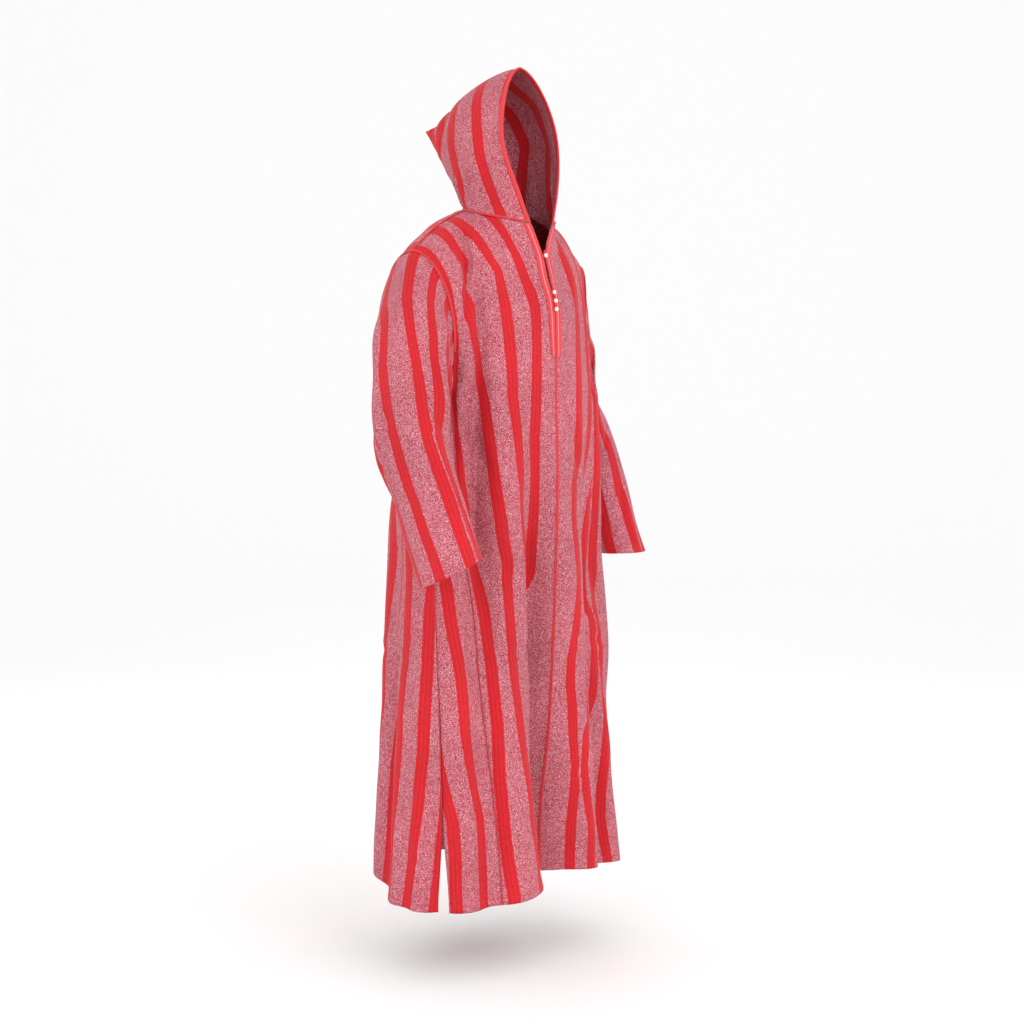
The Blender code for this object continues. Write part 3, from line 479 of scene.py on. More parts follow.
def yoke_column(side, front, across, downs):
    """A column of cloth from the top edge, over the shoulder, to the underarm ring."""
    start = top_edge(side, front, across)
    share = across * gore_share(side, front, ARMHOLE_DEPTH)
    end = place_on(quarter(side, front, ARMHOLE_DEPTH)[0], [share])[0]
    turn = np.linspace(0.0, math.pi / 2, 161)
    power = 2.0 / YOKE_FULLNESS["front" if front else "back"]
    out, down = np.sin(turn) ** power, 1.0 - np.cos(turn) ** power
    curve = start + (end - start) * np.stack([out, out, down], axis=1)
    corner = f"{'right' if side > 0 else 'left'}_{'front' if front else 'back'}"
    early = np.clip(down, 0.0, 1.0) ** ARMHOLE_EARLY[corner]
    bow = ARMHOLE_BOW[corner] * np.sin(math.pi * early) ** 0.8 * across**4
    for at, width, top, depth in zip(*YOKE_FOLDS.values()):
        grown = ramp(down, top, 0.5) * (1.0 - ramp(down, 0.7, 1.0))
        bow -= depth * math.exp(-(((across - at) / width) ** 2)) * grown
    curve[:, 1] += -bow if front else bow
    if front:
        beside_neck = math.exp(-(((across - NECK_SHARE) / 0.11) ** 2))
        early = np.sin(math.pi * np.clip(down, 0.0, 1.0) ** 0.3) ** 0.8
        curve[:, 0] -= side * beside_neck * NECK_FULLNESS * early
        dip = np.minimum(start[1] - curve[:, 1], 0.030) * (1.0 - ramp(down, 0.3, 1.0))
        curve[:, 2] -= beside_neck * NECK_RISE * dip
        near = max(0.0, 1.0 - across / NECK_SHARE) ** 1.5 * (1.0 - ramp(down, 0.45, 1.0))
        closed, forward = (np.interp(-curve[:, 2], NECK_OPENING["drop"], NECK_OPENING[key])
                           for key in ("closed", "forward"))
        closed = closed - (SEAM_GAP / 2 if across == 0 else 0.0)
        curve[:, 0] += near * (start[0] + side * closed - curve[:, 0])
        above = near * (1.0 - ramp(-curve[:, 2], 0.13, 0.20))
        curve[:, 1] += above * (start[1] - forward - curve[:, 1])
    return place_on(curve, downs)


def outward_of(rows, closed=False):
    """The unit normals of a grid of points. The columns of a closed one meet at its ends."""
    padded = np.concatenate([rows[:, -2:-1], rows, rows[:, 1:2]], axis=1) if closed else rows
    normal = unit(np.cross(np.gradient(padded, axis=1), np.gradient(padded, axis=0)))
    return normal[:, 1:-1] if closed else normal


def crease_depths(creases, width, length, across, down):
    """How far in the creases press the cloth, at places in metres across and down it.

    `width` and `length` are the metres that the creases' own numbers stand for.
    """
    depth = np.zeros(np.broadcast(across, down).shape)
    for path, deep, wide, ridge in creases:
        path = [(a * width, b * length) for a, b in path]
        nearest, side, along = np.full_like(depth, FAR_OFF), depth * 0, depth * 0
        for number, (first, last) in enumerate(zip(path[:-1], path[1:])):
            run = (last[0] - first[0], last[1] - first[1])
            px, py = across - first[0], down - first[1]
            share = np.clip((px * run[0] + py * run[1]) / (run[0] ** 2 + run[1] ** 2), 0.0, 1.0)
            gap = np.hypot(px - share * run[0], py - share * run[1])
            closer = gap < nearest
            side = np.where(closer, np.sign(run[0] * py - run[1] * px), side)
            along = np.where(closer, (number + share) / (len(path) - 1), along)
            nearest = np.where(closer, gap, nearest)
        away = nearest * side / wide
        beside = abs(ridge) * np.exp(-((away - 1.7 * np.sign(ridge)) ** 2))
        ends = ramp(along, 0.0, 0.22) * (1.0 - ramp(along, 0.72, 1.0))
        depth += deep * ends * (np.exp(-(away**2)) - beside)
    return depth


# Gentle rises and dips that worn cloth has everywhere: waves across, waves down, height.
RIPPLES = ((31.0, 5.0, 0.0011), (-47.0, 9.0, 0.0008), (71.0, -13.0, 0.0006), (12.0, 21.0, 0.0010),
           (96.0, 27.0, 0.0004), (-23.0, 44.0, 0.0004))


def ripples(across, down, start):
    """The height of the gentle ripples at places in metres. `start` shifts them."""
    height = np.zeros(np.broadcast(across, down).shape)
    for number, (waves_across, waves_down, high) in enumerate(RIPPLES):
        bend = 0.9 * np.sin(7.3 * down + 1.7 * number + start)
        height += high * np.sin(waves_across * across + waves_down * down + bend + start * number)
    return height


def half_body(side, front, panel_shares, gore_shares, downs, drops, creases):
    """The creased cloth of a quarter of the body: the yoke's rows, then the skirt's and gore's."""
    yoke = np.stack([yoke_column(side, front, s, downs) for s in panel_shares], axis=1)
    skirt, places = [], []
    for drop in drops:
        curve, width = quarter(side, front, drop)
        edge, half_gap = gore_share(side, front, drop), SEAM_GAP / 2 / width
        panel = np.maximum(panel_shares * (edge - half_gap), half_gap if front else 0.0)
        opened = SLIT_OPEN * ramp(drop, ROBE_LENGTH - SLIT_LENGTH, ROBE_LENGTH)
        start, end = edge + half_gap, 1.0 - (SEAM_GAP / 2 + opened) / width
        places.append(np.concatenate([panel, start + (end - start) * gore_shares]))
        skirt.append(place_on(curve, places[-1]))
    skirt, places = np.array(skirt), np.array(places)
    count = len(panel_shares)
    normal = outward_of(skirt)
    yoke_normal = outward_of(np.concatenate([yoke, skirt[:1, :count]]))[:-1]
    sign = 1.0 if np.sum(normal[0, 0] * skirt[0, 0] * [1, 1, 0]) > 0 else -1.0
    for rows, out, across, down in ((yoke, yoke_normal, places[:1, :count], downs * ARMHOLE_DEPTH),
                                    (skirt, normal, places, drops)):
        down, spread = down[:, None], side * across * QUARTER_WIDTH
        lift = ripples(spread, down, 0.0 if front else 2.1)
        lift -= crease_depths(creases, QUARTER_WIDTH, 1.0, spread, down)
        lift *= ramp(down, 0.0, 0.05)
        if front:
            lift *= ramp(across, 0.0, 0.06)
        rows += out * (sign * lift)[..., None]
    return yoke, skirt


def seam_dips(rows, edges):
    """Presses the cloth in beside its sewn edges. `edges` names left, right or both."""
    from_left = lengths(rows, 1)
    away = {"left": from_left, "right": from_left[:, -1:] - from_left}
    dip = sum(np.exp(-((away[edge] / DIP_REACH) ** 2)) for edge in edges)
    return rows - outward_of(rows) * (DIP_DEPTH * np.minimum(dip, 1.0))[..., None]


def fitted(piece, node=None):
    """Hangs a piece on the robe's body, in place of a solid."""
    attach(piece, "root")
    if node:
        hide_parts(node)
    return piece


def added(name, primitive, **settings):
    """A new mesh from one of Blender's own primitives."""
    bpy.ops.object.select_all(action="DESELECT")
    primitive(**settings)
    made = bpy.context.active_object
    made.name = made.data.name = name
    return made


def walled_grid(name, rows, maps, material, wall, closed=False):
    """A sheet: a flat grid with its points moved to `rows`, with its UV maps and its wall."""
    piece = added(name, bpy.ops.mesh.primitive_grid_add, x_subdivisions=rows.shape[1] - 1,
                  y_subdivisions=rows.shape[0] - 1, size=1.0)
    mesh = piece.data
    mesh.vertices.foreach_set("co", rows.reshape(-1))
    corners = np.zeros(len(mesh.loops), np.int32)
    mesh.loops.foreach_get("vertex_index", corners)
    for spare in [layer.name for layer in mesh.uv_layers]:
        mesh.uv_layers.remove(mesh.uv_layers[spare])
    for label, (first, second) in maps.items():
        flat = np.stack([first, second], axis=-1).reshape(-1, 2)
        mesh.uv_layers.new(name=label).data.foreach_set("uv", flat[corners].reshape(-1))
    if closed:
        shape = bmesh.new()
        shape.from_mesh(mesh)
        bmesh.ops.remove_doubles(shape, verts=shape.verts, dist=1e-6)
        shape.to_mesh(mesh)
        shape.free()
    mesh.update()
    mesh.materials.append(material)
    mesh.shade_smooth()
    thick = piece.modifiers.new("wall", "SOLIDIFY")
    thick.thickness, thick.offset = wall, 0.0
    bpy.ops.object.modifier_apply(modifier="wall")
    return piece


def cloth_piece(name, rows, across, node, closed=False, hem=True, slit=0.0):
    """A piece of cloth, with its place on the flat cut and its distance from a turned edge.

    `across` is each point's place across the flat cut, in metres, with a red stripe's middle
    at 0 and at each repeat from there. The place down the cut is measured on the cloth. A slit
    is turned in and stitched as the hem is, over that length of the last column.
    """
    down = lengths(rows)
    along = np.repeat(lengths(rows[-1])[None], len(rows), axis=0)
    to_edge = down[-1:] - down if hem else np.ones_like(down)
    if slit:
        reached = lengths(rows, 1)
        beside = reached[:, -1:] - reached + FAR_OFF * (to_edge > slit)
        along = np.where(beside < to_edge, down, along)
        to_edge = np.minimum(to_edge, beside)
    maps = {"cut": (across, down), "edge": (to_edge, along)}
    return fitted(walled_grid(name, rows, maps, CLOTH, WALL, closed), node)


def spaced(first, last, step, ends=0.0025):
    """Even places from first to last, with one more close to each end."""
    count = max(3, int(round((last - first) / step)))
    inner = np.linspace(first, last, count + 1)[1:-1]
    return np.concatenate([[first, first + ends], inner, [last - ends, last]])


yoke_downs = np.concatenate([[0.0, 0.008], np.linspace(0.022, 0.985, 62)])
skirt_drops = np.linspace(
    ARMHOLE_DEPTH, ROBE_LENGTH, int((ROBE_LENGTH - ARMHOLE_DEPTH) / DOWN_STEP)
)
panel_shares = spaced(0.0, PANEL_WIDTH, CLOTH_STEP) / PANEL_WIDTH
panel_count = len(panel_shares)
front_gore_shares = spaced(0.0, FRONT_GORE_WIDTH, CLOTH_STEP) / FRONT_GORE_WIDTH

# Where the red stripes of half a body panel lie in the cut, from its middle, and how far the
# weave is pulled from there: in millimetres, a list for each stripe, at each drop.
STRIPES_AT = (0.047, 0.112, 0.177, 0.242)
FRONT_PULL = {
    "right": {
        "down": (0.03, 0.06, 0.10, 0.13, 0.15, 0.20, 0.25, 0.30, 0.36, 0.44, 0.52, 0.60, 0.68,
                 0.71, 0.76, 0.80, 0.88, 1.00, 1.10, 1.20, 1.26, 1.33),
        "moves": (
            (12, 10, 0, -7, -10, -6, -3, 1, 4, 6, 3, 1, 4, 8, 36, 38, 38, 38, 36, 32, 28, 24),
            (44, 37, 22, 10, -2, -7, -6, -7, -5, -12, -16, -8, -1, -1, -4, 0, 0, 0, 0, 0, 0, 0),
            (25, 25, 15, 28, 42, 40, 32, 15, -8, -13, -15, -19, -12, -1, 7, 10, 12, 7, -1, -8,
             -20, -24),
            (18, 18, 18, 18, 18, 18, 16, 14, 13, 15, 11, 6, 2, 0, -2, -3, -6, -4, 4, 6, 4, -2),
        ),
    },
    "left": {
        "down": (0.04, 0.07, 0.09, 0.12, 0.16, 0.20, 0.25, 0.30, 0.40, 0.48, 0.53, 0.60, 0.72,
                 0.77, 0.81, 0.88, 0.94, 0.98, 1.02, 1.05, 1.12, 1.18, 1.25, 1.34),
        "moves": (
            (58, 46, 36, 40, 48, 54, 42, 32, 31, 28, 12, 8, 25, 20, 14, 0, 0, 6, 10, 14, 29, 30,
             26, 22),
            (40, 26, 28, 34, 38, 40, 36, 30, 26, 25, 15, 12, 14, 10, 6, 0, -4, -4, -3, -14, -16,
             -4, 14, 11),
            (30, 30, 30, 30, 30, 30, 30, 25, 20, 15, 10, 5, 8, 14, 40, 38, 33, 26, 4, -8, -10,
             -10, -10, -10),
            (10, 10, 10, 10, 10, 10, 10, 8, 6, 8, 9, 9, 6, -8, -5, -2, 0, 0, 0, -4, -14, -24,
             -30, -18),
        ),
    },
}
BACK_PULL = {
    "down": (0.10, 0.40, 0.66, 0.76, 0.84, 0.96, 1.10, 1.30),
    "moves": ((0, 4, 8, 6, 2, -4, -6, 0), (0, -6, 4, 12, 10, 4, 0, 4),
              (6, 14, 31, 21, 15, 19, 10, 4), (6, 10, 14, 12, 8, 4, 0, 8)),
}


def pulled(across, downs, places, pull):
    """Places across the cut with the weave's pulls taken off. A pulled stripe keeps its width.

    `places` are the stripes' middles, `downs` has each row's place down the cloth, and `pull`
    has each stripe's moves at some of those places.
    """
    shift = np.zeros_like(across)
    for row, down in enumerate(downs):
        edges, shifts = ([0.0], [0.0]) if places[0] > 0 else ([], [])
        for middle, moves in zip(places, pull["moves"]):
            move = np.interp(down, pull["down"], moves) / 1000.0
            edges += [middle + move - RED_STRIPE / 2, middle + move + RED_STRIPE / 2]
            shifts += [move, move]
        shift[row] = np.interp(across[row], np.maximum.accumulate(edges), shifts)
    return across - shift


panel_drops = np.concatenate([yoke_downs * ARMHOLE_DEPTH, skirt_drops])
panel_places = np.repeat(panel_shares[None] * PANEL_WIDTH, len(panel_drops), axis=0)
panels, gores = {}, {}  # the rows of each, by name and side
for side, hand in SIDES:
    yoke, skirt = half_body(
        side, True, panel_shares, front_gore_shares, yoke_downs, skirt_drops, FRONT_CREASES
    )
    panels["front", hand] = rows = np.concatenate([yoke, skirt[:, :panel_count]])
    gores["front", hand] = skirt[:, panel_count:]
    across = pulled(panel_places, panel_drops, STRIPES_AT, FRONT_PULL[hand]) - STRIPES_AT[0]
    piece = cloth_piece(f"front_cloth_{hand}", seam_dips(rows, ("right",)), across,
                        f"front_panel_{hand}")

# ------------------------------------------------------------------ the back panel
# One width across the whole back, from the back of the neckline and both shoulder seams to the
# hem. It hangs in long soft folds below the shoulder blades.
BACK_CREASES = (
    (((0.80, 0.10), (0.66, 0.24), (0.62, 0.40)), 0.0050, 0.014, 0.35),
    (((0.92, 0.26), (0.74, 0.42), (0.66, 0.58)), 0.0050, 0.014, -0.35),
    (((0.30, 0.14), (0.24, 0.30), (0.26, 0.50)), 0.0040, 0.018, 0.30),
    (((0.44, 0.46), (0.40, 0.70), (0.44, 0.96)), 0.0055, 0.020, 0.30),
    (((0.16, 0.56), (0.10, 0.80), (0.14, 1.10)), 0.0055, 0.020, -0.30),
    (((0.70, 0.80), (0.66, 1.06), (0.70, 1.40)), 0.0055, 0.020, 0.30),
    (((0.04, 0.855), (0.40, 0.862), (0.96, 0.872)), 0.0020, 0.011, -0.50),
    (((-0.76, 0.08), (-0.64, 0.22), (-0.58, 0.38)), 0.0050, 0.014, 0.35),
    (((-0.90, 0.28), (-0.70, 0.44), (-0.60, 0.62)), 0.0050, 0.014, -0.35),
    (((-0.22, 0.18), (-0.28, 0.38), (-0.24, 0.58)), 0.0045, 0.018, 0.30),
    (((-0.38, 0.60), (-0.44, 0.84), (-0.40, 1.08)), 0.0055, 0.020, 0.30),
    (((-0.62, 0.90), (-0.66, 1.14), (-0.60, 1.40)), 0.0055, 0.020, -0.30),
    (((-0.06, 0.86), (-0.50, 0.872), (-0.92, 0.866)), 0.0020, 0.011, -0.50),
)
back_gore_shares = spaced(0.0, BACK_GORE_WIDTH, CLOTH_STEP) / BACK_GORE_WIDTH
for side, hand in SIDES:
    yoke, skirt = half_body(
        side, False, panel_shares, back_gore_shares, yoke_downs, skirt_drops, BACK_CREASES
    )
    panels["back", hand] = np.concatenate([yoke, skirt[:, :panel_count]])
    gores["back", hand] = skirt[:, panel_count:]
right, left = panels["back", "right"], panels["back", "left"]
back_rows = np.concatenate([right[:, :0:-1], (right[:, :1] + left[:, :1]) / 2, left[:, 1:]], axis=1)
half_cut = pulled(panel_places, panel_drops, STRIPES_AT, BACK_PULL) - STRIPES_AT[0]
back_cut = np.concatenate([-half_cut[:, :0:-1], half_cut], axis=1)
back_cloth = cloth_piece(
    "back_cloth", seam_dips(back_rows, ("left", "right")), back_cut, "back_panel"
)

# ------------------------------------------------------------------ the side gores
# Four long wedges that widen the skirt, two on each side with the side seam and the slit between
# them. Each is sewn to its panel along a straight edge, and its slanted edge is the side seam.
GORE_STRIPES = (0.045, 0.110, 0.175)  # the stripes' places in the cut, from the panel's seam
GORE_PULL = {
    "front": {"down": (0.70, 0.78, 0.90, 1.06, 1.10, 1.17, 1.33),
              "moves": ((14, 14, 9, 10, 4, -9, -4),) * 2},
    "back":  {"down": (0.67, 0.75, 0.83, 0.90, 0.98, 1.06, 1.17, 1.30),
              "moves": ((-21, -12, -4, -16, -20, -12, -12, -12),
                        (-22, -21, -18, -19, -15, -11, -14, -18), (-22,) * 8)},
}
GORE_FLATS = {"front": (0.140, 1.02), "back": (0.180, 1.02)}
for _, hand in SIDES:
    for label, flat in GORE_FLATS.items():
        rows = gores[label, hand]
        across = pulled(lengths(rows, 1), skirt_drops, GORE_STRIPES, GORE_PULL[label])
        gore = cloth_piece(f"{label}_gore_cloth_{hand}", seam_dips(rows, ("left", "right")),
                           across - GORE_STRIPES[0], f"{label}_gore_{hand}", slit=SLIT_LENGTH)

# ------------------------------------------------------------------ the sleeves
# Two wide tubes, each cut as one piece that narrows to the cuff and closed along the underarm.
# The stripes run down the arm, and the cloth breaks into folds in front of the armpit.
SLEEVE_GAP = 0.0009
SLEEVE_LEAVE = 0.55  # how far a sleeve goes on straight from the panel before it bends
SHARPEST_SEAM = 115.0
SLEEVE_ROUND, SLEEVE_LONG = 0.27, 0.58  # half way round and along, for the creases
SLEEVE_RISE = 0.4  # how much of each rise the sleeve shows, since its dips are deeper
RIGHT_SLEEVE = {
    "outer_out":  (0.308, 0.339, 0.366, 0.354, 0.350),
    "outer_drop": (0.190, 0.300, 0.408, 0.560, 0.704),
    "inner_out":  (0.240, 0.250, 0.256, 0.254, 0.254),
    "inner_drop": (0.392, 0.430, 0.490, 0.575, 0.668),
    "forward":    (0.012, 0.036, 0.062, 0.102, 0.150),
    "half_depth": (0.088, 0.081, 0.084, 0.078, 0.068),
    "front_lift": (0.000, 0.000, 0.004, 0.012, 0.022),
    "twist":      (12.00, 28.00, 42.00, 58.00, 70.00),
}
LEFT_SLEEVE = {
    "outer_out":  (0.288, 0.295, 0.342, 0.387, 0.414),
    "outer_drop": (0.190, 0.300, 0.420, 0.560, 0.684),
    "inner_out":  (0.250, 0.254, 0.266, 0.292, 0.316),
    "inner_drop": (0.368, 0.420, 0.478, 0.580, 0.688),
    "forward":    (-.089, -.106, -.091, -.066, -.024),
    "half_depth": (0.070, 0.076, 0.076, 0.068, 0.052),
    "front_lift": (0.000, 0.000, 0.000, 0.000, 0.000),
    "twist":      (6.000, 22.00, 38.00, 50.00, 58.00),
}
# Folds that run down a sleeve. Angles go from the top line (0) to the front (90), the
# underarm (180) and the back (-90); rows are shares of the sleeve's length.
RIGHT_SLEEVE_FOLDS = {
    "angle": (74.0, 112.0, 145.0, -60.0, -120.0, 30.0),
    "lean":  (26.0, 20.0, 0.0, 20.0, 10.0, 18.0),
    "from":  (0.03, 0.02, 0.05, 0.10, 0.10, 0.45),
    "to":    (0.62, 0.48, 0.55, 0.80, 0.70, 0.98),
    "depth": (0.020, 0.018, 0.012, 0.012, 0.014, 0.007),
    "width": (16.0, 14.0, 13.0, 18.0, 16.0, 16.0),
}
LEFT_SLEEVE_FOLDS = {
    "angle": (70.0, 118.0, -64.0, -118.0, 20.0),
    "lean":  (14.0, 10.0, 12.0, 10.0, 10.0),
    "from":  (0.04, 0.03, 0.08, 0.10, 0.40),
    "to":    (0.60, 0.55, 0.75, 0.65, 0.96),
    "depth": (0.016, 0.016, 0.012, 0.014, 0.007),
    "width": (16.0, 15.0, 18.0, 16.0, 17.0),
}
# Creases of a sleeve, as paths of (share round from the top line, with + to the front, and share
# of the length), with depth, half width and side ridge.
SLEEVE_CREASES = (
    (((0.46, 0.04), (0.38, 0.20), (0.36, 0.40)), 0.0060, 0.012, 0.45),
    (((0.62, 0.06), (0.55, 0.20), (0.50, 0.34)), 0.0060, 0.012, 0.45),
    (((0.30, 0.36), (0.52, 0.44), (0.80, 0.46)), 0.0045, 0.012, -0.40),
    (((0.14, 0.52), (0.34, 0.58), (0.60, 0.56)), 0.0035, 0.012, 0.35),
    (((-0.30, 0.10), (-0.42, 0.26), (-0.50, 0.42)), 0.0055, 0.014, 0.35),
    (((-0.62, 0.08), (-0.66, 0.28), (-0.62, 0.46)), 0.0055, 0.014, 0.35),
    (((-0.20, 0.50), (-0.44, 0.56), (-0.74, 0.52)), 0.0045, 0.013, 0.35),
    (((0.05, 0.30), (0.02, 0.48), (0.08, 0.64)), 0.0035, 0.016, 0.30),
    (((0.20, 0.74), (0.26, 0.86), (0.24, 1.02)), 0.0035, 0.014, 0.30),
    (((-0.34, 0.70), (-0.30, 0.84), (-0.34, 1.02)), 0.0035, 0.014, 0.30),
)
# The left sleeve lies flatter against the body in front.
LEFT_SLEEVE_CREASES = SLEEVE_CREASES[3:] + (
    (((0.30, 0.08), (0.38, 0.20), (0.36, 0.38)), 0.0130, 0.045, 0.0),
)


def sleeve_fold_share(table, row, along):
    """Where a sleeve fold lies at this share of the length, and how much of it is there."""
    first, last = table["from"][row], table["to"][row]
    centre = table["angle"][row] - table["lean"][row] * along
    return centre, ramp(along, first, first + 0.14) * (1.0 - ramp(along, last - 0.22, last))


def armhole(side, front, shares):
    """Half of the armhole, from the shoulder tip to the underarm, and the way it faces."""
    edge, beside = (yoke_column(side, front, at, np.linspace(0.0, 1.0, 61)) for at in (1.0, 0.97))
    first = gore_share(side, front, ARMHOLE_DEPTH)
    base = place_on(quarter(side, front, ARMHOLE_DEPTH)[0], np.linspace(first, 1.0, 21))[1:]
    under = np.repeat([[-side * 0.85, 0.0, 0.53]], len(base), axis=0)
    loop, faces = np.concatenate([edge, base]), unit(np.concatenate([edge - beside, under]))
    return place_on(loop, shares), unit(place_on(loop, shares, faces))


def sleeve_start(side, table, around):
    """Where a sleeve begins: its rings, the way each armhole edge faces, and the seam's gap.

    `around` runs from -1 at the underarm, by the back, over the shoulder line at 0 and by
    the front to 1 at the underarm again.
    """
    start, faces = np.zeros((len(around), 3)), np.zeros((len(around), 3))
    for front, half in ((True, around >= 0), (False, around < 0)):
        start[half], faces[half] = armhole(side, front, np.abs(around[half]))
    rings = [start]
    for outer_out, outer_drop, inner_out, inner_drop, forward, deep, lift, twist in zip(
        *table.values()
    ):
        outer = np.array([-side * outer_out, 0.0, -outer_drop])
        inner = np.array([-side * inner_out, 0.0, -inner_drop])
        middle = (outer + inner) / 2 + np.array([0.0, -forward, 0.0])
        turn = np.radians(around * 180.0 + twist)
        rings.append(middle + np.outer(np.cos(turn), (outer - inner) / 2)
                     + np.outer(np.sin(turn), [0.0, -deep, lift]))
    rings = np.array(rings)
    bend = np.sum(unit(rings[1] - rings[0]) * faces, axis=1)
    bend = np.clip(np.degrees(np.arccos(np.clip(bend, -1.0, 1.0))), 0.0, SHARPEST_SEAM)
    clear = SLEEVE_GAP + WALL * np.tan(np.radians(bend) / 2)
    rings[0] += faces * clear[:, None]
    return rings, faces, clear


def smooth_through(points, leave):
    """A smooth curve through a few points, leaving the first one along `leave`."""
    slopes = np.zeros_like(points)
    slopes[1:-1] = (points[2:] - points[:-2]) / 2
    slopes[0], slopes[-1] = leave, points[-1] - points[-2]
    s = np.linspace(0.0, 1.0, 25)[:, None]
    parts = [hermite(s, *points[k:k + 2], *slopes[k:k + 2]) for k in range(len(points) - 1)]
    return np.concatenate([parts[0], *(part[1:] for part in parts[1:])])


def sleeve_cloth(side, table, folds, creases, around, alongs):
    """The creased points of a sleeve. Columns run round it from the underarm, by the back."""
    rings, faces, _ = sleeve_start(side, table, around)
    reach = np.linalg.norm(rings[1] - rings[0], axis=1, keepdims=True)
    leave = faces * reach * SLEEVE_LEAVE
    rows = np.stack([place_on(smooth_through(rings[:, k], leave[k]), alongs)
                     for k in range(len(around))], axis=1)
    inward = np.array([fold_depths(folds, around * 180.0, along, sleeve_fold_share)
                       for along in alongs])
    rows -= outward_of(rows, closed=True) * inward[..., None] * side
    round_it, length = around[None] * SLEEVE_ROUND, alongs[:, None] * SLEEVE_LONG
    press = crease_depths(creases, SLEEVE_ROUND, SLEEVE_LONG, round_it, length)
    lift = ripples(round_it, length, 3.3 + side) - press
    lift = np.where(lift > 0, lift * SLEEVE_RISE, lift)
    lift *= ramp(length, 0.0, 0.05) * ramp(SLEEVE_ROUND - np.abs(round_it), 0.0, 0.02)
    return rows - outward_of(rows, closed=True) * (lift * side)[..., None]


# The stripes' places round the cut, from the top line, and how far each is pulled round the arm at
# shares of the sleeve's length, as on the fronts.
SLEEVE_STRIPES = (-0.065, 0.0, 0.065, 0.130)
SLEEVE_PULL = {
    "right": {"down": (0.10, 0.17, 0.24, 0.30, 0.36, 0.48, 0.60, 0.72, 0.84, 0.96),
              "moves": ((2, 2, 14, 8, 0, 7, 9, 4, 5, 9), (7, 7, 14, 17, 18, 19, 16, 11, 9, 10),
                        (3, 8, 14, 9, 4, -8, -24, -29, -28, -26), (0,) * 10)},
    "left":  {"down": (0.10, 0.40, 0.51, 0.60, 0.69, 0.76, 0.85, 0.94),
              "moves": ((0,) * 8, (0,) * 8, (10, 8, 2, -13, -19, -20, -30, -37),
                        (0, -5, -10, -20, -28, -34, -38, -40))},
}
SLEEVES = {
    "right": (RIGHT_SLEEVE, RIGHT_SLEEVE_FOLDS, SLEEVE_CREASES, (0.620, 0.580)),
    "left": (LEFT_SLEEVE, LEFT_SLEEVE_FOLDS, LEFT_SLEEVE_CREASES, (0.540, 0.560)),
}
around = np.linspace(-1.0, 1.0, 105)
top_line = len(around) // 2
sleeve_alongs = spaced(0.0, 1.0, 0.0105, 0.004)
for side, hand in SIDES:
    *shape, flat = SLEEVES[hand]
    rows = sleeve_cloth(side, *shape, around, sleeve_alongs)
    across = lengths(rows, 1)
    across -= across[:, top_line:top_line + 1]
    across = pulled(across, sleeve_alongs, SLEEVE_STRIPES, SLEEVE_PULL[hand])
    sleeve = cloth_piece(f"sleeve_cloth_{hand}", rows, across, f"sleeve_{hand}", closed=True)

# ------------------------------------------------------------------ the hood
# One width folded over the top of the head and sewn to itself down the back, where it ends in
# a soft point. Its foot is sewn to the neckline, with a few gathers at the nape.
NECK_SEAMS = (0.0003, 0.0012)  # how far the hood's foot is over the neckline, front and back
HOOD_TURN = 9.0
HOOD_RIBS = {
    "share":        (0.000, 0.160, 0.400, 0.640, 0.840, 1.000),
    "top_forward":  (0.042, 0.002, -.064, -.130, -.182, -.220),
    "top_height":   (0.286, 0.286, 0.272, 0.237, 0.204, 0.186),
    "side_forward": (0.076, 0.036, -.018, -.074, -.122, -.150),
    "half_width":   (0.065, 0.083, 0.096, 0.083, 0.044, 0.0000),
    "side_height":  (0.135, 0.138, 0.136, 0.128, 0.112, 0.098),
    "foot_angle":   (20.00, 46.00, 84.00, 124.0, 156.0, 180.0),
    "lean":         (0.000, 0.000, 0.006, 0.018, 0.036, 0.050),
}
# Creases of the hood, as paths of (share from the face to the back seam, height up each half).
HOOD_CREASES = (
    (((0.60, 0.98), (0.66, 0.78), (0.70, 0.56), (0.66, 0.34)), 0.0080, 0.014, 0.50),
    (((0.84, 0.92), (0.86, 0.70), (0.82, 0.50)), 0.0060, 0.010, -0.40),
    (((0.62, 0.02), (0.66, 0.14), (0.60, 0.26)), 0.0060, 0.008, 0.50),
    (((0.72, 0.02), (0.76, 0.12), (0.74, 0.24)), 0.0060, 0.007, 0.50),
    (((0.84, 0.03), (0.84, 0.16), (0.80, 0.28)), 0.0055, 0.008, 0.50),
    (((0.28, 0.04), (0.22, 0.20), (0.24, 0.38)), 0.0035, 0.014, 0.35),
    (((0.46, 0.05), (0.50, 0.18), (0.46, 0.32)), 0.0035, 0.012, 0.35),
)
HOOD_ACROSS, HOOD_UP = 0.27, 0.34  # the sizes of half the hood, for its creases
HOOD_MIDDLE = (0.0, 0.03, 0.12)


def over_top(right, left):
    """One line over the top of the hood, from two that each climb a half of it."""
    return np.concatenate([right, left[::-1][1:]])


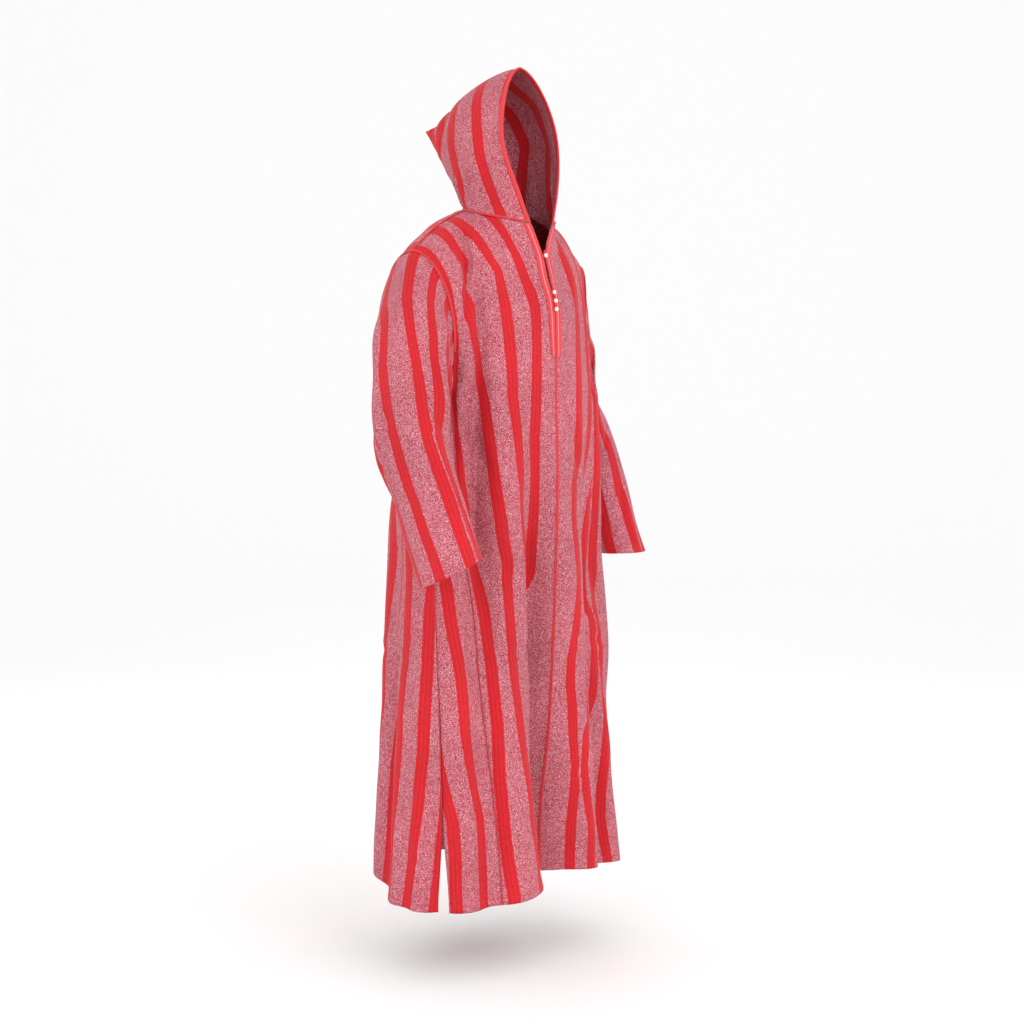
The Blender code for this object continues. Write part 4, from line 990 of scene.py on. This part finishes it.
def hood_rib(share, heights):
    """One rib of the hood, from its right foot over the top to its left foot."""
    top_forward, top_height, forward, half_width, side_height, foot_angle, lean = (
        eased(HOOD_RIBS, key, share, "share") for key in list(HOOD_RIBS)[1:]
    )
    top = np.array([0.0, -top_forward, top_height])
    halves = []
    for side in (1.0, -1.0):
        foot = neck_point(foot_angle) * np.array([side, 1.0, 1.0])
        foot[2] += NECK_SEAMS[0] + (NECK_SEAMS[1] - NECK_SEAMS[0]) * ramp(foot_angle, 20.0, 75.0)
        beside = np.array([-side * half_width, -forward, side_height])
        leave = (beside - foot) * np.array([1.6, 1.6, 0.9])
        climb = (top - foot) * np.array([0.0, 0.4, 0.55])
        over = np.array([side * half_width * 1.7, 0.0, 0.0]) + (top - beside) * [0, 0.5, 0.20]
        s = np.linspace(0.0, 1.0, 61)[:, None]
        half = place_on(np.concatenate([hermite(s, foot, beside, leave, climb),
                                        hermite(s[1:], beside, top, climb, over)]), heights)
        shift = ramp(half[:, 2], 0.02, 0.16)
        half[:, 0] -= lean * shift
        turn = -math.radians(HOOD_TURN) * shift
        x, y = half[:, :2].T.copy()
        half[:, 0] = x * np.cos(turn) - y * np.sin(turn)
        half[:, 1] = x * np.sin(turn) + y * np.cos(turn)
        halves.append(half)
    return over_top(*halves)


def facing(rows, normal, middle):
    """1 where a grid's normals face away from its middle, and -1 where they face it."""
    return 1.0 if np.sum(normal * (rows - middle)) > 0 else -1.0


def hood_cloth(shares, heights):
    """The creased points of the hood, one row for each rib."""
    rows = np.array([hood_rib(share, heights) for share in shares])
    normal = outward_of(rows)
    up, back = over_top(heights, heights)[None] * HOOD_UP, shares[:, None] * HOOD_ACROSS
    lift = ripples(up, back, 5.2) - crease_depths(HOOD_CREASES, HOOD_ACROSS, HOOD_UP, back, up)
    lift *= ramp(back, 0.0, 0.02) * ramp(up, 0.0, 0.012) * ramp(HOOD_ACROSS - back, 0.0, 0.012)
    return rows + normal * (lift * facing(rows, normal, HOOD_MIDDLE))[..., None]


def climbing(step, ends):
    """Even places up half of the hood, with one more close to its foot."""
    return np.concatenate([spaced(0.0, 1.0, step, ends)[:-2], [1.0]])


hood_heights = climbing(0.0165, 0.006)
hood_rows = hood_cloth(spaced(0.0, 1.0, 0.021, 0.008), hood_heights)
hood_ups = over_top(hood_heights, hood_heights) * HOOD_UP
HOOD_STRIPES = (0.063, 0.128, 0.193)  # the stripes' places in the cut, from the face edge
HOOD_PULL = {"down": (0.02, 0.05, 0.08, 0.12, 0.17, 0.21, 0.25, 0.29),  # up each half
             "moves": ((-6, -2, 1, 1, -1, 4, 8, 18), (26, 22, 16, 10, 6, 9, 12, 16),
                       (30, 26, 20, 16, 12, 12, 14, 16))}
hood_cut = pulled(lengths(hood_rows).T, hood_ups, HOOD_STRIPES, HOOD_PULL) - HOOD_STRIPES[0]
hood = cloth_piece("hood_cloth", np.swapaxes(hood_rows, 0, 1), hood_cut, "hood",
                   closed=True, hem=False)

# ------------------------------------------------------------------ the hood's braid
# A woven coral braid, 8 mm wide, is folded round the edge of the hood's opening. Its rolled edge
# stands up as a cord, and a second rib runs beside it.
TRIM_CLEAR = 0.0003
BRAID_WALL = 0.0012
ROBE_MIDDLE = (0.0, 0.02, -0.20)


def plaited_thread():
    """The slanting threads of a braid or cord, from places along and across it in metres, and the
    painted shade that darkens the hollows between them.
    """
    tree, entry, leave = group_of(
        "plaited_thread", {"Place": None, "Thread": 0.0022}, ("Height", "Shade")
    )
    parts = parts_of(tree, entry[0])
    slant = sum_of(tree, "MULTIPLY_ADD", sum_of(tree, "ABSOLUTE", parts[0]), 0.9, parts[1])
    turns = sum_of(tree, "MULTIPLY", sum_of(tree, "DIVIDE", slant, entry[1]), 2 * math.pi)
    wave = sum_of(tree, "MULTIPLY_ADD", sum_of(tree, "SINE", turns), 0.5, 0.5)
    height = sum_of(tree, "MULTIPLY_ADD", noise_at(tree, entry[0], 700.0, 2.0), 0.5, wave)
    # Shade is 0 in the hollows between threads, where the thread's colour gets painted shade.
    return put_out(tree, leave, height, stepped(tree, height, 0.15, 1.05))


PLAITED = plaited_thread()


def braid_cloth(name, midline=None):
    """A braid's or cord's coral thread, with painted shade darkening the hollows between threads. It
    reads its place in metres from the UV map `braid`.
    """
    made, tree = new_material(name)
    place = wire(tree, "ShaderNodeUVMap", uv_map="braid")
    height, shade = grouped(tree, PLAITED, place)[:2]
    # Painted shade: the hollows between threads take the darker red, and the tops keep the coral.
    colour = blended(tree, shade, (0.50, 0.012, 0.020, 1.0), (0.83, 0.052, 0.064, 1.0))
    if midline is not None:
        off = sum_of(tree, "ABSOLUTE", parts_of(tree, place)[0])
        line = sum_of(tree, "SUBTRACT", 1.0, stepped(tree, off, 0.0004, 0.0011))
        colour = blended(tree, line, colour, midline)
    return surfaced(
        made, colour, sum_of(tree, "MULTIPLY_ADD", shade, -0.18, 0.66), height, 0.6, 0.0004,
        Sheen_Weight=0.20, Sheen_Roughness=0.35, Sheen_Tint=(1.0, 0.75, 0.75, 1.0),
    )


EDGE_BRAID = braid_cloth("edge_braid")
PLACKET_BRAID = braid_cloth("placket_braid", (0.90, 0.42, 0.46, 1.0))


def ribbed_braid(name, rows, heights, material, node):
    """A flat braid on a grid of cloth points: its columns run along it, raised to its ribs."""
    normal = outward_of(rows)
    sign = facing(rows, normal, ROBE_MIDDLE if rows[..., 2].mean() < 0.0 else HOOD_MIDDLE)
    lift = WALL / 2 + TRIM_CLEAR + BRAID_WALL / 2 + np.asarray(heights)
    points = rows + normal * (sign * lift)[None, :, None]
    place = lengths(rows, 1)
    maps = {"braid": (place - place[:, -1:] / 2, lengths(rows))}
    fitted(walled_grid(name, points, maps, material, BRAID_WALL), node)


edge_rows = np.swapaxes(hood_cloth(np.linspace(0.0, 0.031, 9), climbing(0.008, 0.003)), 0, 1)
rolled = (-0.0006, 0.0008, 0.0012, 0.0006, -0.0002, 0.0004, 0.0007, 0.0002, -0.0006)
ribbed_braid("hood_edge_braid", edge_rows, rolled, EDGE_BRAID, "hood_braid")

# ------------------------------------------------------------------ the placket's braids
# Two coral braids, 12 mm wide, edge the neck slit and meet below it in a point. Each has two
# ribs with a pale stitched line between them.
PLACKET_WIDTH = 0.012
PLACKET_END = 0.285
PLACKET_POINT = 0.011  # how much higher the outer edge ends
CHEST_WIDTH = 0.26  # of half the front, across the placket
band_shares = np.linspace(0.0, PLACKET_WIDTH / CHEST_WIDTH, 11)
band_ends = PLACKET_END - PLACKET_POINT * np.linspace(0.0, 1.0, len(band_shares))
band_ribs = (-0.0004, 0.0004, 0.0007, 0.0006, 0.0001, -0.0004, 0.0001, 0.0006, 0.0007, 0.0004,
             -0.0004)
bands = {}
for side, hand in SIDES:
    yoke = half_body(side, True, band_shares, front_gore_shares, yoke_downs, skirt_drops[:2],
                     FRONT_CREASES)[0]
    band = []
    for column, last in zip(np.swapaxes(yoke, 0, 1), band_ends):
        run = lengths(column)
        end = np.interp(last, -column[1:, 2], run[1:]) / run[-1]
        band.append(place_on(column, np.linspace(0.012, end, 96)))
    bands[hand] = np.stack(band, axis=1)
    ribbed_braid(f"placket_band_{hand}", bands[hand], band_ribs, PLACKET_BRAID,
                 f"placket_braid_{hand}")

# ------------------------------------------------------------------ the cords on the seams
# Twisted coral cords in pairs cover the neck seam, the shoulder seams and the armholes. They are
# sewn down on both sides of the seam.
CORD_RADIUS = 0.0012
CORD_CLEAR = 0.0004
CORD_LIFT = CORD_RADIUS + WALL / 2 + CORD_CLEAR
CORD_REACH = 0.62  # share of each half armhole that its cord can be seen on
CORD_THREAD = braid_cloth("cord_thread")


def twisted_cords(name, lines, radius, node=None, step=0.0010, sides=9, pitch=0.0052):
    """Cords of two strands twisted together, one along each line of points."""
    shape = bmesh.new()
    layer = shape.loops.layers.uv.new("braid")
    angles = np.linspace(0.0, 2 * math.pi, sides, endpoint=False)
    for line in lines:
        count = max(4, int(lengths(line)[-1] / step))
        points = place_on(line, np.linspace(0.0, 1.0, count))
        run = unit(np.gradient(points, axis=0))
        up = unit(np.cross(run, [0.31, 0.42, 0.85]))
        beside = np.cross(run, up)
        rings = []
        for number in range(count):
            twist = math.pi * number * step / pitch
            ends = min(number, count - 1 - number)
            size = radius * (0.78 + 0.22 * np.abs(np.cos(angles - twist))) * min(1, 0.6 + ends * 0.2)
            ring = points[number] + np.outer(np.cos(angles) * size, up[number])
            ring = ring + np.outer(np.sin(angles) * size, beside[number])
            rings.append([shape.verts.new(point) for point in ring])
        for number, (near, far) in enumerate(zip(rings[:-1], rings[1:])):
            for k in range(sides):
                n = (k + 1) % sides
                face = shape.faces.new((near[k], near[n], far[n], far[k]))
                face.smooth = True
                for loop, (a, b) in zip(face.loops, ((0, k), (0, k + 1), (1, k + 1), (1, k))):
                    round_it = (b / sides - 0.5) * 2 * math.pi * radius
                    loop[layer].uv = (round_it, (number + a) * step)
        shape.faces.new(rings[0][::-1])
        shape.faces.new(rings[-1])
    bmesh.ops.recalc_face_normals(shape, faces=shape.faces)
    mesh = bpy.data.meshes.new(name)
    shape.to_mesh(mesh)
    shape.free()
    piece = bpy.data.objects.new(name, mesh)
    bpy.context.scene.collection.objects.link(piece)
    mesh.materials.append(CORD_THREAD)
    fitted(piece, node)


def pair_of(line, out, apart):
    """Two lines beside each other, each `apart` from the one that is given."""
    beside = unit(np.cross(np.gradient(line, axis=0), out))
    return [line + beside * apart, line - beside * apart]


feet, above = (np.concatenate([hood_rows[1:, k], hood_rows[1:-1, -1 - k][::-1]]) for k in (0, 2))
climb = above - feet
away = unit(feet * [1.0, 1.0, 0.0])
lean = unit(np.stack([np.sum(climb * away, axis=1), climb[:, 2]], axis=1))
corner = unit(np.stack([lean[:, 1] + 0.25, 0.97 - lean[:, 0]], axis=1))
out = away * corner[:, :1]
out[:, 2] += corner[:, 1]
neck_line = feet + out * (CORD_LIFT / (corner @ [0.25, 0.97]))[:, None]
twisted_cords("neck_cords", pair_of(neck_line, out, 0.0011), CORD_RADIUS, "neck_cord")
for side, hand in SIDES:
    seam = np.array([top_edge(side, True, share) for share in np.linspace(0.42, 0.965, 24)])
    slope = np.repeat([[-side * 0.42, 0.0, 0.91]], len(seam), axis=0)
    twisted_cords(f"shoulder_cords_{hand}", pair_of(seam + slope * CORD_LIFT, slope, 0.0012),
                  CORD_RADIUS, f"shoulder_cord_{hand}")


def armhole_line(side, table):
    """The middle line of the cords over an armhole's seam, and the way out from the seam."""
    rings, faces, clear = sleeve_start(side, table, np.linspace(-CORD_REACH, CORD_REACH, 61))
    run, way = np.gradient(rings[0], axis=0), rings[1] - rings[0]
    reach = np.linalg.norm(way, axis=1, keepdims=True)
    way = unit(faces * SLEEVE_LEAVE * reach * 0.9 + way * 0.1)
    out = unit(np.cross(faces, run)) + unit(np.cross(way, run))
    half_cos = np.linalg.norm(out, axis=1, keepdims=True) / 2
    out /= 2 * half_cos
    if out[len(out) // 2][2] < 0:
        out = -out
    lift = CORD_LIFT / np.maximum(half_cos, 0.6)
    return rings[0] - faces * clear[:, None] / 2 + out * lift, out


for side, hand in SIDES:
    line, out = armhole_line(side, SLEEVES[hand][0])
    twisted_cords(f"armhole_cords_{hand}", pair_of(line, out, 0.0013), CORD_RADIUS,
                  f"armhole_cord_{hand}")

# ------------------------------------------------------------------ the piped seams
# A narrow coral piping is sewn into the centre front seam below the placket, into the seams of
# the gores and into the side seams down to the slits.
FRONT_PIPING = 0.0014
SIDE_PIPING = 0.0009


def seam_line(first, second, lift):
    """The line midway between two sewn edges, lifted off the cloth."""
    middle = (first[:, 0] + second[:, 0]) / 2
    out = unit(np.cross(second[:, 1] - first[:, 1], np.gradient(middle, axis=0)))
    if np.sum(out * (middle * [1.0, 1.0, 0.0])) <= 0:
        out = -out
    return middle + out * lift, out


fronts = [panels["front", hand][:, :3] for _, hand in SIDES]
below = int(np.argmax(-fronts[0][:, 0, 2] > PLACKET_END - 0.004))
line, out = seam_line(fronts[0][below:], fronts[1][below:], WALL / 2 + 0.0006)
twisted_cords("front_seam_piping", pair_of(line, out, 0.0014), FRONT_PIPING, step=0.0014, sides=8)
for _, hand in SIDES:
    front, back = (panels[label, hand][len(yoke_downs):, -1:-4:-1] for label in ("front", "back"))
    front_gore, back_gore = gores["front", hand], gores["back", hand]
    seams = {
        "front_gore": (front, front_gore[:, :3]),
        "back_gore": (back, back_gore[:, :3]),
        "side": (front_gore[:, -1:-4:-1], back_gore[:, -1:-4:-1]),
    }
    for label, (first, second) in seams.items():
        line, _ = seam_line(first, second, WALL / 2 + 0.0003)
        if label == "side":
            line = line[: int(np.argmax(skirt_drops > ROBE_LENGTH - SLIT_LENGTH))]
        twisted_cords(f"{label}_piping_{hand}", [line], SIDE_PIPING, step=0.0016, sides=7)

# ------------------------------------------------------------------ the buttons
# Four small pearl beads close the placket, one at the top of the slit and three below it. Each is
# held by a twisted red loop that ends in a knot, and the loops are sewn to the braid.
BUTTON_RADIUS = 0.0042
BUTTON_DROPS = (0.083, 0.156, 0.172, 0.188)
BUTTON_SEAT = 0.0002
LOOP_CORD = 0.0011
LOOP_RADIUS = 0.0050
KNOT_ABOVE = 0.0080


def pearl_bead():
    """Pearl: a pale, slightly clouded nacre under a clear coat."""
    made, tree = new_material("pearl")
    place = wire(tree, "ShaderNodeTexCoord").node.outputs["Object"]
    cloud = stepped(tree, noise_at(tree, place, 260.0, 2.0, 0.5, 0.6), 0.35, 0.70)
    colour = blended(tree, cloud, (0.80, 0.74, 0.70, 1.0), (0.92, 0.90, 0.87, 1.0))
    rough = sum_of(tree, "MULTIPLY_ADD", cloud, 0.10, 0.18)
    return surfaced(made, colour, rough, cloud, 0.2, 0.0001, Coat_Weight=0.6, Coat_Roughness=0.08)


PEARL = pearl_bead()


def ring_of(middle, first, second, radius, count=40):
    """Points of a closed ring about a middle, in the plane of two directions."""
    turns = np.linspace(0.0, 2 * math.pi, count)
    return middle + radius * (np.outer(np.cos(turns), first) + np.outer(np.sin(turns), second))


def on_column(column, height):
    """Where a column of points passes a height, and the way that it runs there."""
    row = int(np.argmax(column[:, 2] < height))
    share = (column[row - 1][2] - height) / (column[row - 1][2] - column[row][2])
    run = column[row] - column[row - 1]
    return column[row - 1] + run * share, unit(run)


over_cloth = WALL / 2 + TRIM_CLEAR + BRAID_WALL
across = np.array([1.0, 0.0, 0.0])
for number, drop in enumerate(BUTTON_DROPS, 1):
    edges = [on_column(bands[hand][:, 0], -drop) for _, hand in SIDES]
    place, down = (edges[0][0] + edges[1][0]) / 2, edges[0][1] + edges[1][1]
    down = down * [0.0, 1.0, 1.0] / np.linalg.norm(down)
    out = unit(np.array([0.0, down[2], -down[1]]))
    out = out if out[1] < 0 else -out
    bead = added(f"pearl_bead_{number}", bpy.ops.mesh.primitive_uv_sphere_add, segments=28,
                 ring_count=18, radius=BUTTON_RADIUS)
    middle = place + out * (over_cloth + BUTTON_SEAT + BUTTON_RADIUS)
    points = np.array([vert.co for vert in bead.data.vertices])
    flatter = points - np.outer(points @ out, out) * 0.10 + middle
    bead.data.vertices.foreach_set("co", flatter.reshape(-1))
    bead.data.materials.append(PEARL)
    bead.data.shade_smooth()
    fitted(bead, f"button_{number}")
    foot = place + out * (over_cloth + 0.0014)
    knot = foot - down * KNOT_ABOVE + out * 0.0012
    lines = [ring_of(foot, across, down, LOOP_RADIUS), ring_of(knot, across, down, 0.0020, 24),
             ring_of(knot, across, out, 0.0021, 24), ring_of(knot, down, out, 0.0018, 24)]
    twisted_cords(f"button_loop_cord_{number}", lines, LOOP_CORD, f"button_loop_{number}",
                  step=0.0007, sides=8, pitch=0.003)

# ------------------------------------------------------------------ floor, light and camera
# A plain pale studio: a broad soft lamp in front, one from each side and a weaker one behind,
# over a pale floor that sweeps up behind the robe, which hangs clear of it.
FLOOR_AT = -1.474
FLOOR_WIDTH, FLOOR_RUN, FLOOR_FRONT = 26.0, 21.0, 7.0  # its last part lies before the robe
FLAT_TO, BEND = 4.5, 3.0  # how far behind the robe the floor is flat, and the bend's radius
LAMPS = {  # place, the middle of what it lights, size and watts
    "key_lamp": ((-1.2, -4.2, 1.6), (0.0, 0.0, -0.6), 2.6, 56.0),
    "side_lamp": ((-4.0, -1.0, 0.8), (0.0, 0.0, -0.6), 2.2, 30.0),
    "fill_lamp": ((2.2, -3.8, -0.4), (0.0, 0.0, -0.9), 2.4, 20.0),
    "far_lamp": ((2.6, 2.8, 1.8), (0.0, 0.0, -0.5), 2.2, 20.0),
}
CAMERA_TURN = -45.0  # degrees from the robe's front
CAMERA_ANGLE = 27.4  # degrees that the picture takes in
CAMERA_AWAY, CAMERA_ASIDE = 4.2, 0.008
CAMERA_HEIGHT, AIM_HEIGHT = -0.37, -0.588
turn = math.radians(CAMERA_TURN)
from_robe = Vector((math.sin(turn), -math.cos(turn), 0.0))
to_right = Vector((math.cos(turn), math.sin(turn), 0.0))
upward = Vector((0.0, 0.0, 1.0))
floor = added("studio_floor", bpy.ops.mesh.primitive_grid_add, x_subdivisions=2,
              y_subdivisions=60, size=1.0)
for point in floor.data.vertices:
    run = (point.co.y + 0.5) * FLOOR_RUN - FLOOR_FRONT
    bent = min(max(run - FLAT_TO, 0.0) / BEND, math.pi / 2)
    back = min(run, FLAT_TO) + BEND * math.sin(bent)
    rise = BEND * (1.0 - math.cos(bent)) + max(run - FLAT_TO - BEND * math.pi / 2, 0.0)
    aside = to_right * point.co.x * FLOOR_WIDTH
    point.co = aside - from_robe * back + upward * (rise + FLOOR_AT)
floor.data.shade_smooth()
pale, tree = new_material("studio_floor")
tree.nodes["Principled BSDF"].inputs["Base Color"].default_value = (0.92, 0.92, 0.92, 1)
tree.nodes["Principled BSDF"].inputs["Roughness"].default_value = 0.9
floor.data.materials.append(pale)

studio = bpy.data.worlds.new("studio")
bpy.context.scene.world = studio
studio.use_nodes = True
studio.node_tree.nodes["Background"].inputs[0].default_value = (1.0, 1.0, 1.0, 1.0)
studio.node_tree.nodes["Background"].inputs[1].default_value = 1.0
bpy.context.scene.view_settings.view_transform = "Standard"


def aimed(name, data, place, aim):
    """A lamp or camera at a place, turned to look at its aim."""
    made = bpy.data.objects.new(name, data)
    made.location = place
    made.rotation_euler = (Vector(aim) - Vector(place)).to_track_quat("-Z", "Y").to_euler()
    bpy.context.scene.collection.objects.link(made)
    return made


for name, (place, aim, size, watts) in LAMPS.items():
    lamp = bpy.data.lights.new(name, "AREA")
    lamp.shape, lamp.size, lamp.energy = "SQUARE", size, watts
    aimed(name, lamp, place, aim)
view = bpy.data.cameras.new("view")
view.lens = 36.0 / (2 * math.tan(math.radians(CAMERA_ANGLE) / 2))
aside = to_right * CAMERA_ASIDE
bpy.context.scene.camera = aimed(
    "view", view, from_robe * CAMERA_AWAY + aside + upward * CAMERA_HEIGHT,
    aside + upward * AIM_HEIGHT,
)
